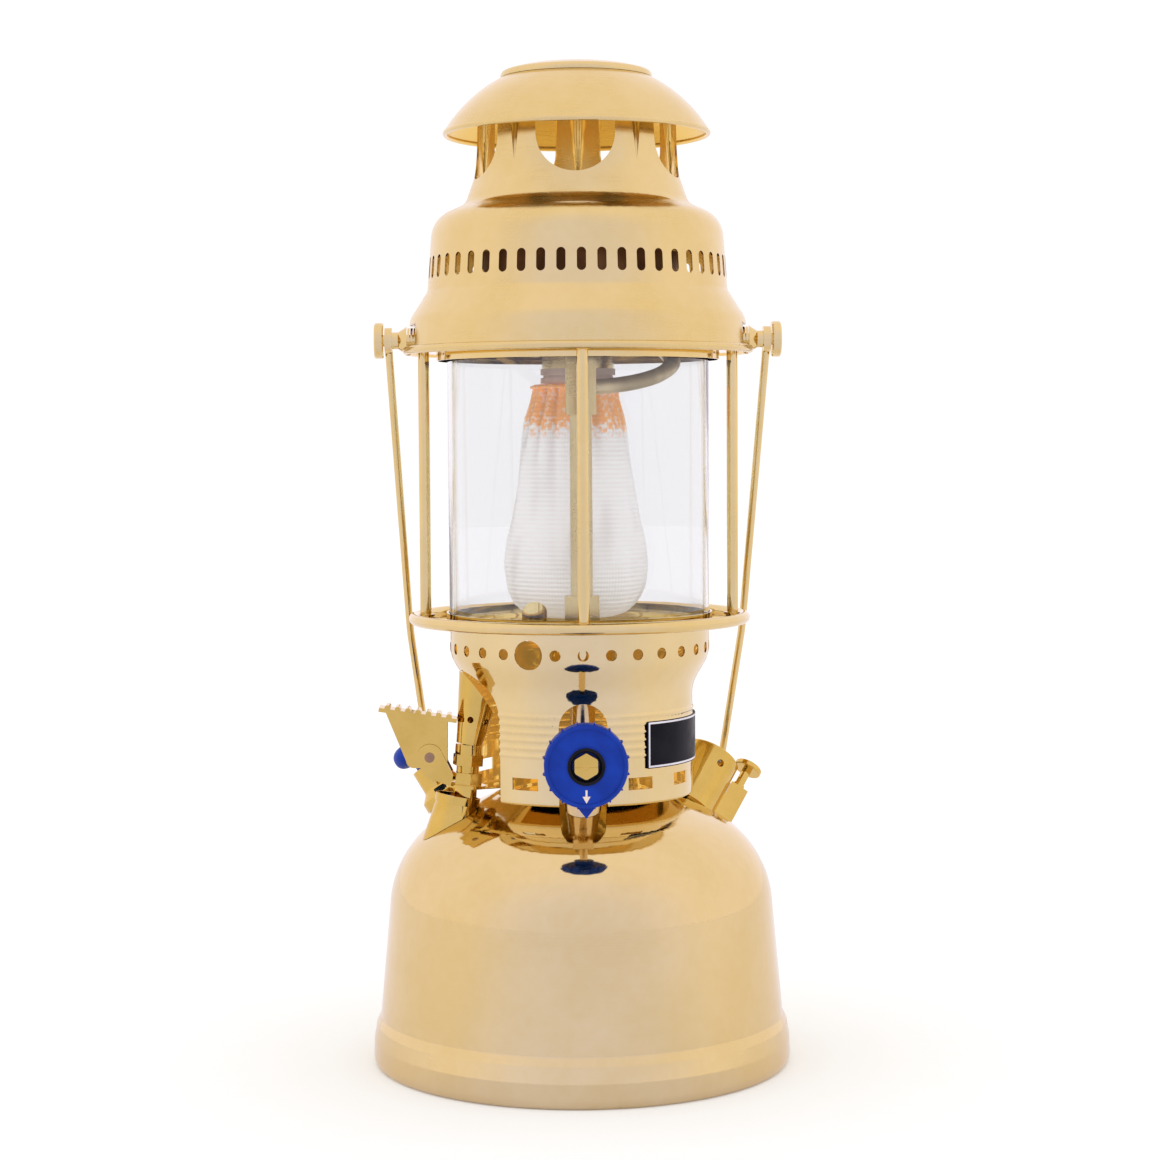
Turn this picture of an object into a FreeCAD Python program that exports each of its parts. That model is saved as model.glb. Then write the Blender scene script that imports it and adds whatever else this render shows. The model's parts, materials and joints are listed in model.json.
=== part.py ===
"""Kerosene pressure lantern, modelled as separate pieces.

Frame: +Z up, origin at the centre of the foot on the surface that the lantern stands on.
The front, where the control wheel is, faces -Y. The carrying handle turns about X.
All lengths are millimetres and all angles are degrees. An azimuth of 0 is the front (-Y)
and 90 is the right-hand side (+X).
"""
import FreeCAD, Part
import math
import os

V = FreeCAD.Vector
UP = V(0, 0, 1)

# ---------------------------------------------------------------- clearances
running_gap = 0.05          # radial, between a shaft and its bore
part_gap = 0.35             # between pieces that move apart
seat_gap = 0.1              # between pieces that only rest together
seam_gap = 0.02             # between sheets that meet edge to edge

# ---------------------------------------------------------------- fuel tank
tank_radius = 84.7          # widest, at the rolled foot
tank_foot_step = 3.0        # the side starts this far inside the foot
tank_foot_height = 19.4
tank_foot_lip = 5.4         # width of the edge that is turned in under the foot
tank_corner_radius = 75.4   # where the side and the cone would meet
tank_corner_height = 90.2
tank_shoulder_fillet = 42.0
tank_height = 108.8
tank_flat_radius = 34.0
tank_wall = 0.9
tank_bottom_height = 9.0
tank_bottom_dish = 4.0

# ---------------------------------------------------------------- burner casing
casing_radius = 45.6
casing_mouth_radius = 52.4
casing_height = 69.2
casing_wall = 0.7
casing_flare_start = 44.2   # above the casing's foot
casing_flare_end = 56.1
casing_foot_width = 17.0    # inward flange that sits on the tank
casing_rib_count = 6
casing_rib_pitch = 3.1
casing_rib_first = 19.6
casing_rib_height = 0.55    # how far each pressed rib stands out
casing_rib_half = 1.1
casing_rib_fillet = 0.9
casing_hole_count = 30
casing_hole_radius = 2.2
casing_hole_drop = 9.4      # below the casing's mouth
casing_big_hole_radius = 5.8
casing_big_hole_azimuth = -24.0
casing_slot_count = 12
casing_slot_width = 11.5
casing_slot_height = 4.8
casing_slot_level = 8.6
casing_notch_half_width = 9.5
casing_notch_top = 40.5
torch_gap_azimuth = -72.0   # cut-out that the preheater stands in
torch_gap_half_width = 20.6
torch_gap_top = 51.0

# ---------------------------------------------------------------- frame
post_circle = 62.1
post_radius = 2.25
post_foot_radius = 2.9
post_washer_radius = 3.6
post_foot_height = 2.6
post_count = 4
ring_plate = 1.0
ring_inner_radius = 47.0
ring_bead_radius = 2.3
ring_bead_circle = 66.6
frame_height = 108.6        # from the casing's mouth to the underside of the top ring
top_ring_plate = 1.2
top_ring_inner_radius = 53.0
top_ring_outer_radius = 64.4
skirt_outer_radius = 57.0
skirt_depth = 3.2
skirt_wall = 0.8
lug_half_width = 5.5
lug_thickness = 2.6
lug_height = 9.2

# ---------------------------------------------------------------- glass
glass_radius = 52.6
glass_wall = 1.7
glass_height = 106.0
glass_lip_height = 3.4
glass_lip_wall = 0.8

# ---------------------------------------------------------------- handle and its pivots
pivot_rise = 5.1            # pivot axis above the underside of the top ring
hood_flat_reach = 64.6      # the flat seat pressed into the hood, from the axis
washer_count = 3
washer_thickness = 0.9
washer_pitch = 1.25
washer_radius = 5.1
cone_radius = 5.7
cone_length = 3.5
neck_radius = 3.4
neck_length = 2.3
eye_length = 3.1
eye_radius = 5.2
screw_radius = 2.4
screw_head_radius = 7.15
screw_head_length = 3.7
screw_head_grooves = 24
bail_wire_radius = 1.55
bail_knee_drop = 132.0      # from the pivots to the bend in each arm
bail_knee_inset = 5.4       # each arm comes in by this much at its bend
bail_knee_fillet = 150.0
bail_length = 226.0
bail_corner_inset = 15.3
bail_corner_fillet = 36.0
bail_lean = 23.6            # leaves room for the filler cap and its bleed screw to turn

# ---------------------------------------------------------------- hood
hood_wall = 0.8
rim_bead_radius = 1.6
rim_circle = 68.9
hood_break_radius = 67.2
hood_break_rise = 12.7
hood_step_radius = 60.2
hood_step_rise = 23.7
hood_side_top_radius = 58.1
hood_shoulder_rise = 52.2
hood_neck_radius = 44.9
hood_neck_rise = 58.1
hood_seam_radius = 51.3     # the neck is soldered to the shoulder here
hood_rim_rise = 0.9         # the rim's bead above the underside of the top ring
vent_count = 48
vent_width = 3.5
vent_height = 8.8
vent_rise = 32.65
hood_pocket_half_height = 5.8
hood_slot_half_width = 2.85
hood_notch_half_width = 6.2

chimney_radius = 39.7
chimney_waist_radius = 40.5
chimney_waist_rise = 12.4   # above the chimney's foot
chimney_height = 43.5
window_count = 5
window_width_angle = 45.6
window_azimuth = -2.3
window_rise = 9.4
flute_half_width = 4.2
flute_depth = 3.4
flute_bottom_rise = 15.1

cap_arc_radius = 58.5
cap_arc_circle = 3.4
cap_rim_radius = 53.6
cap_wall = 0.8
cap_bead_radius = 1.0
cap_hole_radius = 18.0
cap_rim_above_chimney_foot = 28.2
disc_radius = 30.8
disc_height = 5.6
disc_band = 2.6

# ---------------------------------------------------------------- burner
burner_offset = 36.0        # the generator stands this far in front of the axis
nozzle_radius = 15.0
nozzle_drop = 6.6           # its top, below the underside of the top ring
nozzle_spigot_radius = 12.6
nozzle_height = 5.8
nozzle_spigot = 5.0
nozzle_bore = 9.5
burner_tube_radius = 14.5
burner_tube_length = 13.0
gooseneck_radius = 8.0
gooseneck_wall = 1.0
bell_radius = 9.6
bell_height = 4.0
mantle_neck_radius = 15.6
mantle_belly_radius = 29.0
mantle_side_shift = -1.5
mantle_back_shift = 1.6
mantle_floor_gap = 0.9
generator_radius = 4.35
generator_bore = 2.0
generator_nut_flats = 13.4
generator_nut_height = 13.0
head_block_width = 11.7
head_block_height = 22.0
head_block_drop = 25.3      # its foot, below the underside of the top ring
loop_tube_radius = 3.0
loop_rise = 23.0
loop_drop = 7.0
jet_holder_radius = 5.0
jet_holder_height = 8.6
bell_above_block = 11.5
inner_hood_radius = 47.0
inner_hood_top_radius = 41.5
inner_hood_wall = 0.7
inner_hood_cylinder = 18.0
inner_hood_height = 38.0
inner_hood_partition = 14.5
pricker_radius = 0.8
pricker_stroke = 3.0
pickup_plug_radius = 5.2

# ---------------------------------------------------------------- valve and control wheel
spindle_rise = 21.2         # above the tank's top
spindle_radius = 2.5
valve_body_radius = 7.2
valve_branch_radius = 5.6
valve_branch_length = 15.0
gland_flats = 12.0
gland_length = 7.0
riser_radius = 5.0
wheel_reach = 84.5          # front face, from the axis
wheel_radius = 16.0
wheel_thickness = 9.0
wheel_tooth_count = 16
wheel_tooth_height = 0.9
wheel_pointer_radius = 19.9
wheel_recess_radius = 6.1
wheel_recess_depth = 3.4
wheel_nut_flats = 8.8
wheel_nut_thickness = 3.0
spirit_cup_radius = 12.0
spirit_cup_height = 7.0
spirit_cup_wall = 0.6

# ---------------------------------------------------------------- filler
filler_azimuth = 134.0
filler_circle = 61.9        # where its axis meets the tank
filler_tilt = 42.0
filler_neck_radius = 8.6
filler_neck_wall = 1.6
filler_neck_height = 9.6
filler_cap_radius = 12.4
filler_cap_height = 13.3
filler_cap_lift = 1.8       # the cap's edge stays this far off the tank
gasket_thickness = 1.5
gauge_housing_height = 13.2
gauge_recess = 5.0
gauge_wall = 1.6
gauge_hole_radius = 1.6
bleed_azimuth = -30.0       # round the cap's own axis, from its outer side
bleed_block_width = 8.0
bleed_block_reach = 20.4
bleed_block_low = 3.4
bleed_block_top = 22.0
bleed_offset = 16.6
bleed_radius = 2.0
bleed_head_radius = 6.0
bleed_head_thickness = 2.4
bleed_exposed = 9.6

# ---------------------------------------------------------------- pump
pump_azimuth = -112.0
pump_circle = 56.1
pump_tilt = 34.0
pump_barrel_radius = 9.0
pump_barrel_wall = 0.8
pump_barrel_length = 76.0
pump_barrel_rise = 4.0      # the barrel's mouth above the tank
pump_cap_radius = 9.8
pump_cap_neck_radius = 6.8
pump_cap_height = 17.2
pump_knob_radius = 10.8
pump_knob_height = 8.0
pump_knob_lift = 4.6
pump_rod_radius = 2.0
pump_stroke = 48.0

# ---------------------------------------------------------------- preheater
heater_azimuth = -75.5
heater_circle = 48.0
heater_tilt = -4.6
heater_level = 109.4        # where the body rises out of its cup
cup_azimuth = -77.6
cup_circle = 50.6
cup_tilt = -11.2
cup_radius = 9.0
cup_rim_height = 3.2
cup_wall = 1.0
cup_depth = 2.4
cup_flare = 8.5
cup_skirt_height = 30.0     # cut off where it meets the tank
heater_nut_flats = 10.8
heater_brim_radius = 8.0
heater_neck_radius = 4.4
heater_collar_radius = 5.4
heater_tube_radius = 5.2
heater_tube_flare = 8.3
heater_tube_lean = 6.8      # the tube leans this much more than the body
heater_tube_wall = 0.7
heater_tube_start = 20.7
heater_tube_length = 28.2
heater_tube_slant = 42.0
heater_port_radius = 1.3
heater_port_count = 6
heater_port_rise = 10.0
stem_radius = 1.5
dip_tube_radius = 2.2
lever_pivot_out = 14.1      # outboard of the preheater's axis, seen from the front
lever_pivot_rise = 16.2     # above the cup
lever_pad_length = 31.4
lever_width = 9.6
lever_sheet = 0.9
lever_pad_rise = 20.8
lever_pad_overhang = 20.2
lever_pad_slope = 8.8
lever_tooth_count = 7
clevis_radius = 5.2
clevis_sheet = 1.2
pin_radius = 1.3

# ---------------------------------------------------------------- nameplate
plate_start_azimuth = 33.0
plate_end_azimuth = 97.0
plate_low = 14.2
plate_height = 18.5
plate_thickness = 0.5

# ---------------------------------------------------------------- derived levels
casing_foot = tank_height
casing_mouth = casing_foot + casing_height
ring_top = casing_mouth + ring_plate
glass_foot = ring_top
top_ring_under = casing_mouth + frame_height
top_ring_top = top_ring_under + top_ring_plate
pivot_height = top_ring_under + pivot_rise
rim_height = top_ring_under + hood_rim_rise
chimney_foot = rim_height + hood_neck_rise
cap_rim_height = chimney_foot + cap_rim_above_chimney_foot
spindle_height = tank_height + spindle_rise
nozzle_top = top_ring_under - nozzle_drop
block_foot = top_ring_under - head_block_drop
block_top = block_foot + head_block_height + 0.4


# ================================================================ geometry helpers
def radial(azimuth, radius, height=0.0):
    """A point at an azimuth measured from the front towards the right."""
    angle = math.radians(azimuth)
    return V(radius * math.sin(angle), -radius * math.cos(angle), height)


def cylinder(radius, low, high, x=0.0, y=0.0):
    return Part.makeCylinder(radius, high - low, V(x, y, low), UP)


def tube(outer, inner, low, high, x=0.0, y=0.0):
    skin = cylinder(outer, low, high, x, y)
    return skin.cut(cylinder(inner, low - 1.0, high + 1.0, x, y))


def rod(radius, start, end):
    """A round bar between two points."""
    return Part.makeCylinder(radius, (end - start).Length, start, end - start)


def block(low, high):
    size = high - low
    return Part.makeBox(size.x, size.y, size.z, low)


def prism(sides, across_flats, low, high, x=0.0, y=0.0):
    """A regular prism standing on its end."""
    corner = across_flats / 2.0 / math.cos(math.pi / sides)
    points = []
    for step in range(sides + 1):
        angle = 2.0 * math.pi * (step + 0.5) / sides
        points.append(V(x + corner * math.cos(angle), y + corner * math.sin(angle), low))
    return Part.Face(Part.makePolygon(points)).extrude(V(0, 0, high - low))


def bead(circle, radius, height):
    return Part.makeTorus(circle, radius, V(0, 0, height), UP)


def line(start, end):
    return Part.LineSegment(start, end).toShape()


def direction(start, end):
    step = end - start
    return step * (1.0 / step.Length)


def fillet_frame(before, corner, after, fillet):
    """Start, middle, end and centre of the round that replaces a corner."""
    back = direction(corner, before)
    ahead = direction(corner, after)
    half = back.getAngle(ahead) / 2.0
    reach = fillet / math.tan(half)
    bisector = direction(V(0, 0, 0), back + ahead)
    centre = corner + bisector * (fillet / math.sin(half))
    return corner + back * reach, centre - bisector * fillet, corner + ahead * reach, centre


def outline(corners):
    """Edges in the XZ plane through corners given as (radius, height, fillet)."""
    points = [V(radius, 0, height) for radius, height, _ in corners]
    edges = []
    start = points[0]
    for index in range(1, len(points) - 1):
        fillet = corners[index][2]
        if fillet <= 0:
            edges.append(line(start, points[index]))
            start = points[index]
            continue
        enter, middle, leave, _ = fillet_frame(points[index - 1], points[index],
                                               points[index + 1], fillet)
        if (enter - start).Length > 1e-4:
            edges.append(line(start, enter))
        edges.append(Part.Arc(enter, middle, leave).toShape())
        start = leave
    edges.append(line(start, points[-1]))
    return edges


def inset(corners, wall):
    """The same corners moved by wall towards the axis side of a path that runs upwards."""
    points = [V(radius, 0, height) for radius, height, _ in corners]
    moved = []
    for index, point in enumerate(points):
        steps = []
        if index > 0:
            steps.append(direction(points[index - 1], point))
        if index < len(points) - 1:
            steps.append(direction(point, points[index + 1]))
        normals = [V(-step.z, 0, step.x) for step in steps]
        if len(normals) == 1:
            moved.append((point + normals[0] * wall, 0.0))
            continue
        together = normals[0] + normals[1]
        shift = together * (wall * 2.0 / together.dot(together))
        turn = steps[0].x * steps[1].z - steps[0].z * steps[1].x
        fillet = corners[index][2] - wall * math.copysign(1.0, turn)
        moved.append((point + shift, max(fillet, 0.0) if corners[index][2] > 0 else 0.0))
    return [(max(point.x, 0.0), point.z, fillet) for point, fillet in moved]


def spin(edges):
    """Turn a closed loop of edges in the XZ plane into a body of revolution."""
    loop = Part.Wire(Part.__sortEdges__(edges))
    return Part.Face(loop).revolve(V(0, 0, 0), UP, 360.0)


def filled(corners):
    """The solid body inside a path of corners, closed along the axis."""
    edges = outline(corners)
    first = V(corners[0][0], 0, corners[0][1])
    last = V(corners[-1][0], 0, corners[-1][1])
    if last.x > 1e-6:
        edges.append(line(last, V(0, 0, last.z)))
    edges.append(line(V(0, 0, last.z), V(0, 0, first.z)))
    if first.x > 1e-6:
        edges.append(line(V(0, 0, first.z), first))
    return spin(edges)


def spun_sheet(corners, wall):
    """Sheet metal of an even wall inside a path of corners."""
    inner = inset(corners, wall)
    edges = outline(corners)
    edges += outline(list(reversed(inner)))
    edges.append(line(V(corners[-1][0], 0, corners[-1][1]), V(inner[-1][0], 0, inner[-1][1])))
    edges.append(line(V(inner[0][0], 0, inner[0][1]), V(corners[0][0], 0, corners[0][1])))
    return spin(edges)


def tilted(azimuth, radius, height, tilt):
    """Placement whose own Z leans outwards by tilt and whose own X points outwards."""
    turn = FreeCAD.Rotation(UP, azimuth - 90.0)
    lean = FreeCAD.Rotation(V(0, 1, 0), tilt)
    return FreeCAD.Placement(radial(azimuth, radius, height), turn.multiply(lean))


def placed(shape, placement):
    copy = shape.copy()
    copy.Placement = placement.multiply(copy.Placement)
    return copy


def turned(shape, azimuth):
    """A shape built at the front, moved round to another azimuth."""
    copy = shape.copy()
    copy.rotate(V(0, 0, 0), UP, azimuth)
    return copy


def joined(shapes):
    result = shapes[0]
    if len(shapes) > 1:
        result = shapes[0].multiFuse(shapes[1:])
    return result.removeSplitter()


def export(name, shapes):
    """Write one sub-part; a list of shapes becomes a group of separate solids."""
    if not isinstance(shapes, list):
        shapes = [shapes]
    solids = []
    for shape in shapes:
        solids += shape.Solids
    result = solids[0] if len(solids) == 1 else Part.makeCompound(solids)
    result.exportStep("parts/" + name + ".step")


# ================================================================ fuel tank
def tank_path():
    side = tank_radius - tank_foot_step
    return [(tank_radius - tank_foot_lip, 0.0, 0), (tank_radius - 0.6, 0.0, 2.2),
            (tank_radius, 3.4, 2.0), (tank_radius - 0.2, 10.0, 4.0),
            (side + 1.7, tank_foot_height - 3.2, 2.0), (side, tank_foot_height, 2.0),
            (tank_corner_radius, tank_corner_height, tank_shoulder_fillet),
            (tank_flat_radius, tank_height, 4.0), (0.0, tank_height, 0)]


def tank_solid(grow=0.0):
    """The tank's outer form, larger by grow."""
    return filled(inset(tank_path(), -grow)) if grow else filled(tank_path())


def tank_cavity():
    return filled(inset(tank_path(), tank_wall + running_gap))


def tank_shoulder_centre():
    """Centre of the round between the tank's side and its cone."""
    points = [V(radius, 0, height) for radius, height, _ in tank_path()]
    corner = len(points) - 3
    return fillet_frame(points[corner - 1], points[corner], points[corner + 1],
                        tank_shoulder_fillet)[3]


def tank_surface_height(radius):
    """Height of the tank's outer face at a radius, on its cone or its round shoulder."""
    centre = tank_shoulder_centre()
    fall = tank_height - tank_corner_height
    run = tank_corner_radius - tank_flat_radius
    if radius < centre.x + tank_shoulder_fillet * math.sin(math.atan2(fall, run)):
        return tank_height - fall * (radius - tank_flat_radius) / run
    return centre.z + math.sqrt(tank_shoulder_fillet ** 2 - (radius - centre.x) ** 2)


def filler_placement():
    return tilted(filler_azimuth, filler_circle, tank_surface_height(filler_circle), filler_tilt)


def pump_placement():
    return tilted(pump_azimuth, pump_circle, tank_surface_height(pump_circle), pump_tilt)


def heater_placement():
    return tilted(heater_azimuth, heater_circle, heater_level, heater_tilt)


def cup_placement():
    return tilted(cup_azimuth, cup_circle, heater_level, cup_tilt)


def tank_shell():
    """Spun brass tank, open below, with seats for the neck, the pump and the fuel pipes."""
    shell = spun_sheet(tank_path(), tank_wall)
    fit = running_gap
    neck = placed(cylinder(filler_neck_radius + fit, -12.0, 12.0), filler_placement())
    pump = placed(cylinder(pump_barrel_radius + fit, -14.0, 14.0), pump_placement())
    heater = radial(heater_azimuth, heater_circle)
    pipe = cylinder(dip_tube_radius + fit, 60.0, tank_height, heater.x, heater.y)
    valve = cylinder(pickup_plug_radius + fit, 90.0, tank_height + 6.0, 0, -burner_offset)
    return shell.cut(joined([neck, pump, pipe, valve]))


def tank_bottom():
    """Dished disc soldered inside the foot."""
    low = tank_bottom_height
    path = [(tank_radius + 2.0, low, 0), (tank_radius - 12.0, low, 6.0),
            (tank_radius - 30.0, low + tank_bottom_dish, 20.0), (0.0, low + tank_bottom_dish, 0)]
    disc = spun_sheet(path, 1.0)
    return disc.common(tank_cavity())


# ================================================================ burner casing
def casing_path():
    flare = casing_foot + casing_flare_start
    shoulder = casing_foot + casing_flare_end
    inner = casing_radius - casing_foot_width
    path = [(inner, casing_foot + seam_gap, 0), (casing_radius, casing_foot + seam_gap, 1.4)]
    for index in range(casing_rib_count):
        height = casing_foot + casing_rib_first + index * casing_rib_pitch
        path.append((casing_radius, height - casing_rib_half, casing_rib_fillet))
        path.append((casing_radius + casing_rib_height, height, casing_rib_fillet))
        path.append((casing_radius, height + casing_rib_half, casing_rib_fillet))
    path += [(casing_radius, flare, 15.0), (casing_mouth_radius, shoulder, 13.0),
             (casing_mouth_radius, casing_mouth, 0)]
    return path


def casing_openings():
    """Everything that is punched out of the casing's wall."""
    reach = casing_mouth_radius + 5.0
    cutters = []
    hole = Part.makeCylinder(casing_hole_radius, reach, V(0, 0, casing_mouth - casing_hole_drop),
                             V(0, -1, 0))
    pitch = 360.0 / casing_hole_count
    for index in range(casing_hole_count):
        azimuth = index * pitch
        if abs(azimuth - 360.0 - casing_big_hole_azimuth) > 1.0:
            cutters.append(turned(hole, azimuth))
    big = Part.makeCylinder(casing_big_hole_radius, reach,
                            V(0, 0, casing_mouth - casing_hole_drop), V(0, -1, 0))
    cutters.append(turned(big, casing_big_hole_azimuth))
    half = casing_slot_width / 2.0
    level = casing_foot + casing_slot_level - casing_slot_height / 2.0
    slot = block(V(-half, -reach, level), V(half, -casing_radius + 6.0, level + casing_slot_height))
    for index in range(1, casing_slot_count):
        cutters.append(turned(slot, index * 360.0 / casing_slot_count))
    arch = casing_foot + casing_notch_top - casing_notch_half_width
    wide = casing_notch_half_width
    cutters.append(block(V(-wide, -reach, casing_foot - 2.0), V(wide, -22.0, arch)))
    cutters.append(Part.makeCylinder(wide, reach, V(0, 0, arch), V(0, -1, 0)).common(
        block(V(-reach, -reach, 0), V(reach, -22.0, casing_mouth))))
    wide = torch_gap_half_width
    arch = casing_foot + torch_gap_top - wide
    gap = Part.makeCylinder(wide, reach, V(0, 0, arch), V(0, -1, 0))
    gap = gap.fuse(block(V(-wide, -reach, casing_foot - 2.0), V(wide, 0.0, arch)))
    gap = gap.common(block(V(-reach, -reach, 0), V(reach, -24.0, casing_mouth)))
    cutters.append(turned(gap, torch_gap_azimuth))
    return cutters


def burner_casing():
    """Collar between the tank and the frame, ribbed and pierced for air."""
    shell = spun_sheet(casing_path(), casing_wall)
    for cutter in casing_openings():
        shell = shell.cut(cutter)
    return shell


def nameplate():
    """Curved plate on the right of the casing."""
    inner = casing_radius + casing_rib_height + seam_gap
    low = casing_foot + plate_low
    ring = tube(inner + plate_thickness, inner, low, low + plate_height)
    reach = casing_radius * 3.0
    wedge_points = [V(0, 0, low - 1.0)]
    steps = 4
    for step in range(steps + 1):
        share = step / steps
        azimuth = plate_start_azimuth + share * (plate_end_azimuth - plate_start_azimuth)
        wedge_points.append(radial(azimuth, reach, low - 1.0))
    wedge_points.append(wedge_points[0])
    wedge = Part.Face(Part.makePolygon(wedge_points)).extrude(V(0, 0, plate_height + 2.0))
    return ring.common(wedge)


# ================================================================ frame and glass
def post_azimuths():
    return [index * 360.0 / post_count for index in range(post_count)]


def ring_bead_height():
    return casing_mouth + ring_bead_radius - 0.3


def frame_bottom_ring():
    plate = tube(ring_bead_circle - 1.0, ring_inner_radius, casing_mouth, ring_top)
    rolled = bead(ring_bead_circle, ring_bead_radius, ring_bead_height())
    lip_inner = glass_radius + seat_gap * 3.0
    lip = tube(lip_inner + glass_lip_wall, lip_inner, casing_mouth, ring_top + glass_lip_height)
    return joined([plate, rolled, lip])


def frame_posts():
    posts = []
    for azimuth in post_azimuths():
        foot = radial(azimuth, post_circle)
        low = ring_top + post_foot_height
        bar = cylinder(post_radius, ring_top, top_ring_under, foot.x, foot.y)
        collar = cylinder(post_foot_radius, ring_top, low, foot.x, foot.y)
        washer = cylinder(post_washer_radius, low - 0.8, low, foot.x, foot.y)
        rolled = bead(ring_bead_circle, ring_bead_radius + seat_gap, ring_bead_height())
        posts.append(joined([bar, collar, washer]).cut(rolled))
    return posts


def frame_top_ring():
    """Flat ring on the posts with a short skirt round the glass and two bent-up lugs."""
    plate = tube(top_ring_outer_radius, top_ring_inner_radius, top_ring_under, top_ring_top)
    skirt = tube(skirt_outer_radius, skirt_outer_radius - skirt_wall,
                 top_ring_under - skirt_depth, top_ring_top)
    pieces = [plate, skirt]
    outer = hood_flat_reach - hood_wall - part_gap
    for side in (-1, 1):
        near = side * (outer - lug_thickness)
        far = side * outer
        low = V(min(near, far), -lug_half_width, top_ring_under)
        high = V(max(near, far), lug_half_width, top_ring_under + lug_height)
        lug = block(low, high)
        bore = rod(screw_radius + running_gap, V(near - side, 0, pivot_height),
                   V(far + side, 0, pivot_height))
        pieces.append(lug.cut(bore))
    return joined(pieces)


def glass_chimney():
    return tube(glass_radius, glass_radius - glass_wall, glass_foot, glass_foot + glass_height)


# ================================================================ handle and pivots
def pivot_stations():
    """Distances from the axis to each face along a pivot, from the hood outwards."""
    washers = hood_flat_reach + part_gap
    cone = washers + washer_count * washer_pitch
    neck = cone + cone_length
    eye = neck + neck_length
    head = eye + eye_length
    return washers, cone, neck, eye, head


def pivot_sleeves():
    """Flanged sleeves that clamp the hood and carry the handle's eyes."""
    sleeves = []
    _, cone, neck, eye, head = pivot_stations()
    for side in (-1, 1):
        axis = V(side, 0, 0)
        flange = Part.makeCone(cone_radius, neck_radius, cone_length,
                               V(side * cone, 0, pivot_height), axis)
        shank = Part.makeCylinder(neck_radius, head - neck - seat_gap,
                                  V(side * neck, 0, pivot_height), axis)
        bore = Part.makeCylinder(screw_radius + running_gap, 30.0,
                                 V(side * (cone - 1.0), 0, pivot_height), axis)
        sleeves.append(flange.fuse(shank).cut(bore))
    return sleeves


def pivot_washers():
    rings = []
    start = pivot_stations()[0]
    for side in (-1, 1):
        for index in range(washer_count):
            place = V(side * (start + index * washer_pitch), 0, pivot_height)
            ring = Part.makeCylinder(washer_radius, washer_thickness, place, V(side, 0, 0))
            bore = Part.makeCylinder(screw_radius + running_gap, washer_thickness + 2.0,
                                     place - V(side, 0, 0), V(side, 0, 0))
            rings.append(ring.cut(bore))
    return rings


def bail_screw(side):
    """Knurled thumb screw that runs through the sleeve into the lug."""
    head_start = pivot_stations()[4] + part_gap
    inner = hood_flat_reach - hood_wall - part_gap - lug_thickness
    axis = V(side, 0, 0)
    shank = rod(screw_radius, V(side * inner, 0, pivot_height),
                V(side * (head_start + 0.5), 0, pivot_height))
    head = Part.makeCylinder(screw_head_radius, screw_head_length,
                             V(side * head_start, 0, pivot_height), axis)
    outer_edges = [edge for edge in head.Edges if edge.Length > 2.0 * screw_head_radius * 3.0]
    head = head.makeChamfer(0.5, outer_edges)
    return head.fuse(shank)


def bail_corners():
    """Corners of the whole handle, from one eye round to the other, pivots at height 0."""
    _, _, _, eye, head = pivot_stations()
    middle = (eye + head) / 2.0
    half = [(middle, -eye_radius + 1.0, 0),
            (middle - bail_knee_inset, -bail_knee_drop, bail_knee_fillet),
            (middle - bail_corner_inset, -bail_length, bail_corner_fillet)]
    return half + [(-x, z, fillet) for x, z, fillet in reversed(half)]


def bail_line():
    """Middle line of the handle's wire, hanging straight down."""
    return Part.Wire(outline(bail_corners()))


def hung(shape, angle):
    """A shape drawn round the pivots, leaned back by an angle."""
    copy = shape.copy()
    copy.rotate(V(0, 0, 0), V(1, 0, 0), angle)
    copy.translate(V(0, 0, pivot_height))
    return copy


def bail_tank_angle():
    """Lean at which the handle's arch would touch the back of the tank."""
    centre = tank_shoulder_centre()
    down = pivot_height - centre.z
    far = math.hypot(centre.x, down)
    reach = tank_shoulder_fillet + bail_wire_radius + part_gap
    if bail_length + reach <= far:
        return 0.0
    inside = (bail_length ** 2 + far ** 2 - reach ** 2) / (2.0 * bail_length * far)
    return math.degrees(math.atan2(centre.x, down) + math.acos(inside))


def bail_rest_angle():
    """Lean of the hanging handle: its own, or more where the tank or a fitting holds it off."""
    stops = [gauge_housing(), filler_cap_body(), pump_knob(), pump_cap()]
    low = max(bail_lean, bail_tank_angle())
    high = low + 30.0
    room = bail_wire_radius + part_gap
    if min(hung(bail_line(), low).distToShape(stop)[0] for stop in stops) >= room:
        return low
    for _ in range(12):
        angle = (low + high) / 2.0
        wire = hung(bail_line(), angle)
        if min(wire.distToShape(stop)[0] for stop in stops) < room:
            low = angle
        else:
            high = angle
    return high


def bail():
    """Wire handle hanging down behind the lantern."""
    _, _, _, eye, head = pivot_stations()
    path = bail_line()
    start = V(bail_corners()[0][0], 0, bail_corners()[0][1])
    knee = V(bail_corners()[1][0], 0, bail_corners()[1][1])
    section = Part.Wire([Part.Circle(start, direction(start, knee), bail_wire_radius).toShape()])
    pieces = [path.makePipeShell([section], True, False)]
    for side in (-1, 1):
        pieces.append(Part.makeCylinder(eye_radius, head - eye - 2.0 * seat_gap,
                                        V(side * (eye + seat_gap), 0, 0), V(side, 0, 0)))
    handle = joined(pieces)
    for side in (-1, 1):
        handle = handle.cut(Part.makeCylinder(neck_radius + running_gap, 20.0,
                                              V(side * (eye - 8.0), 0, 0), V(side, 0, 0)))
    return hung(handle, bail_rest_angle())


# ================================================================ hood
def shoulder_height(radius):
    """Height of the hood's sloping shoulder at a radius."""
    slope = (hood_neck_rise - hood_shoulder_rise) / (hood_side_top_radius - hood_neck_radius)
    return rim_height + hood_neck_rise - slope * (radius - hood_neck_radius)


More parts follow.
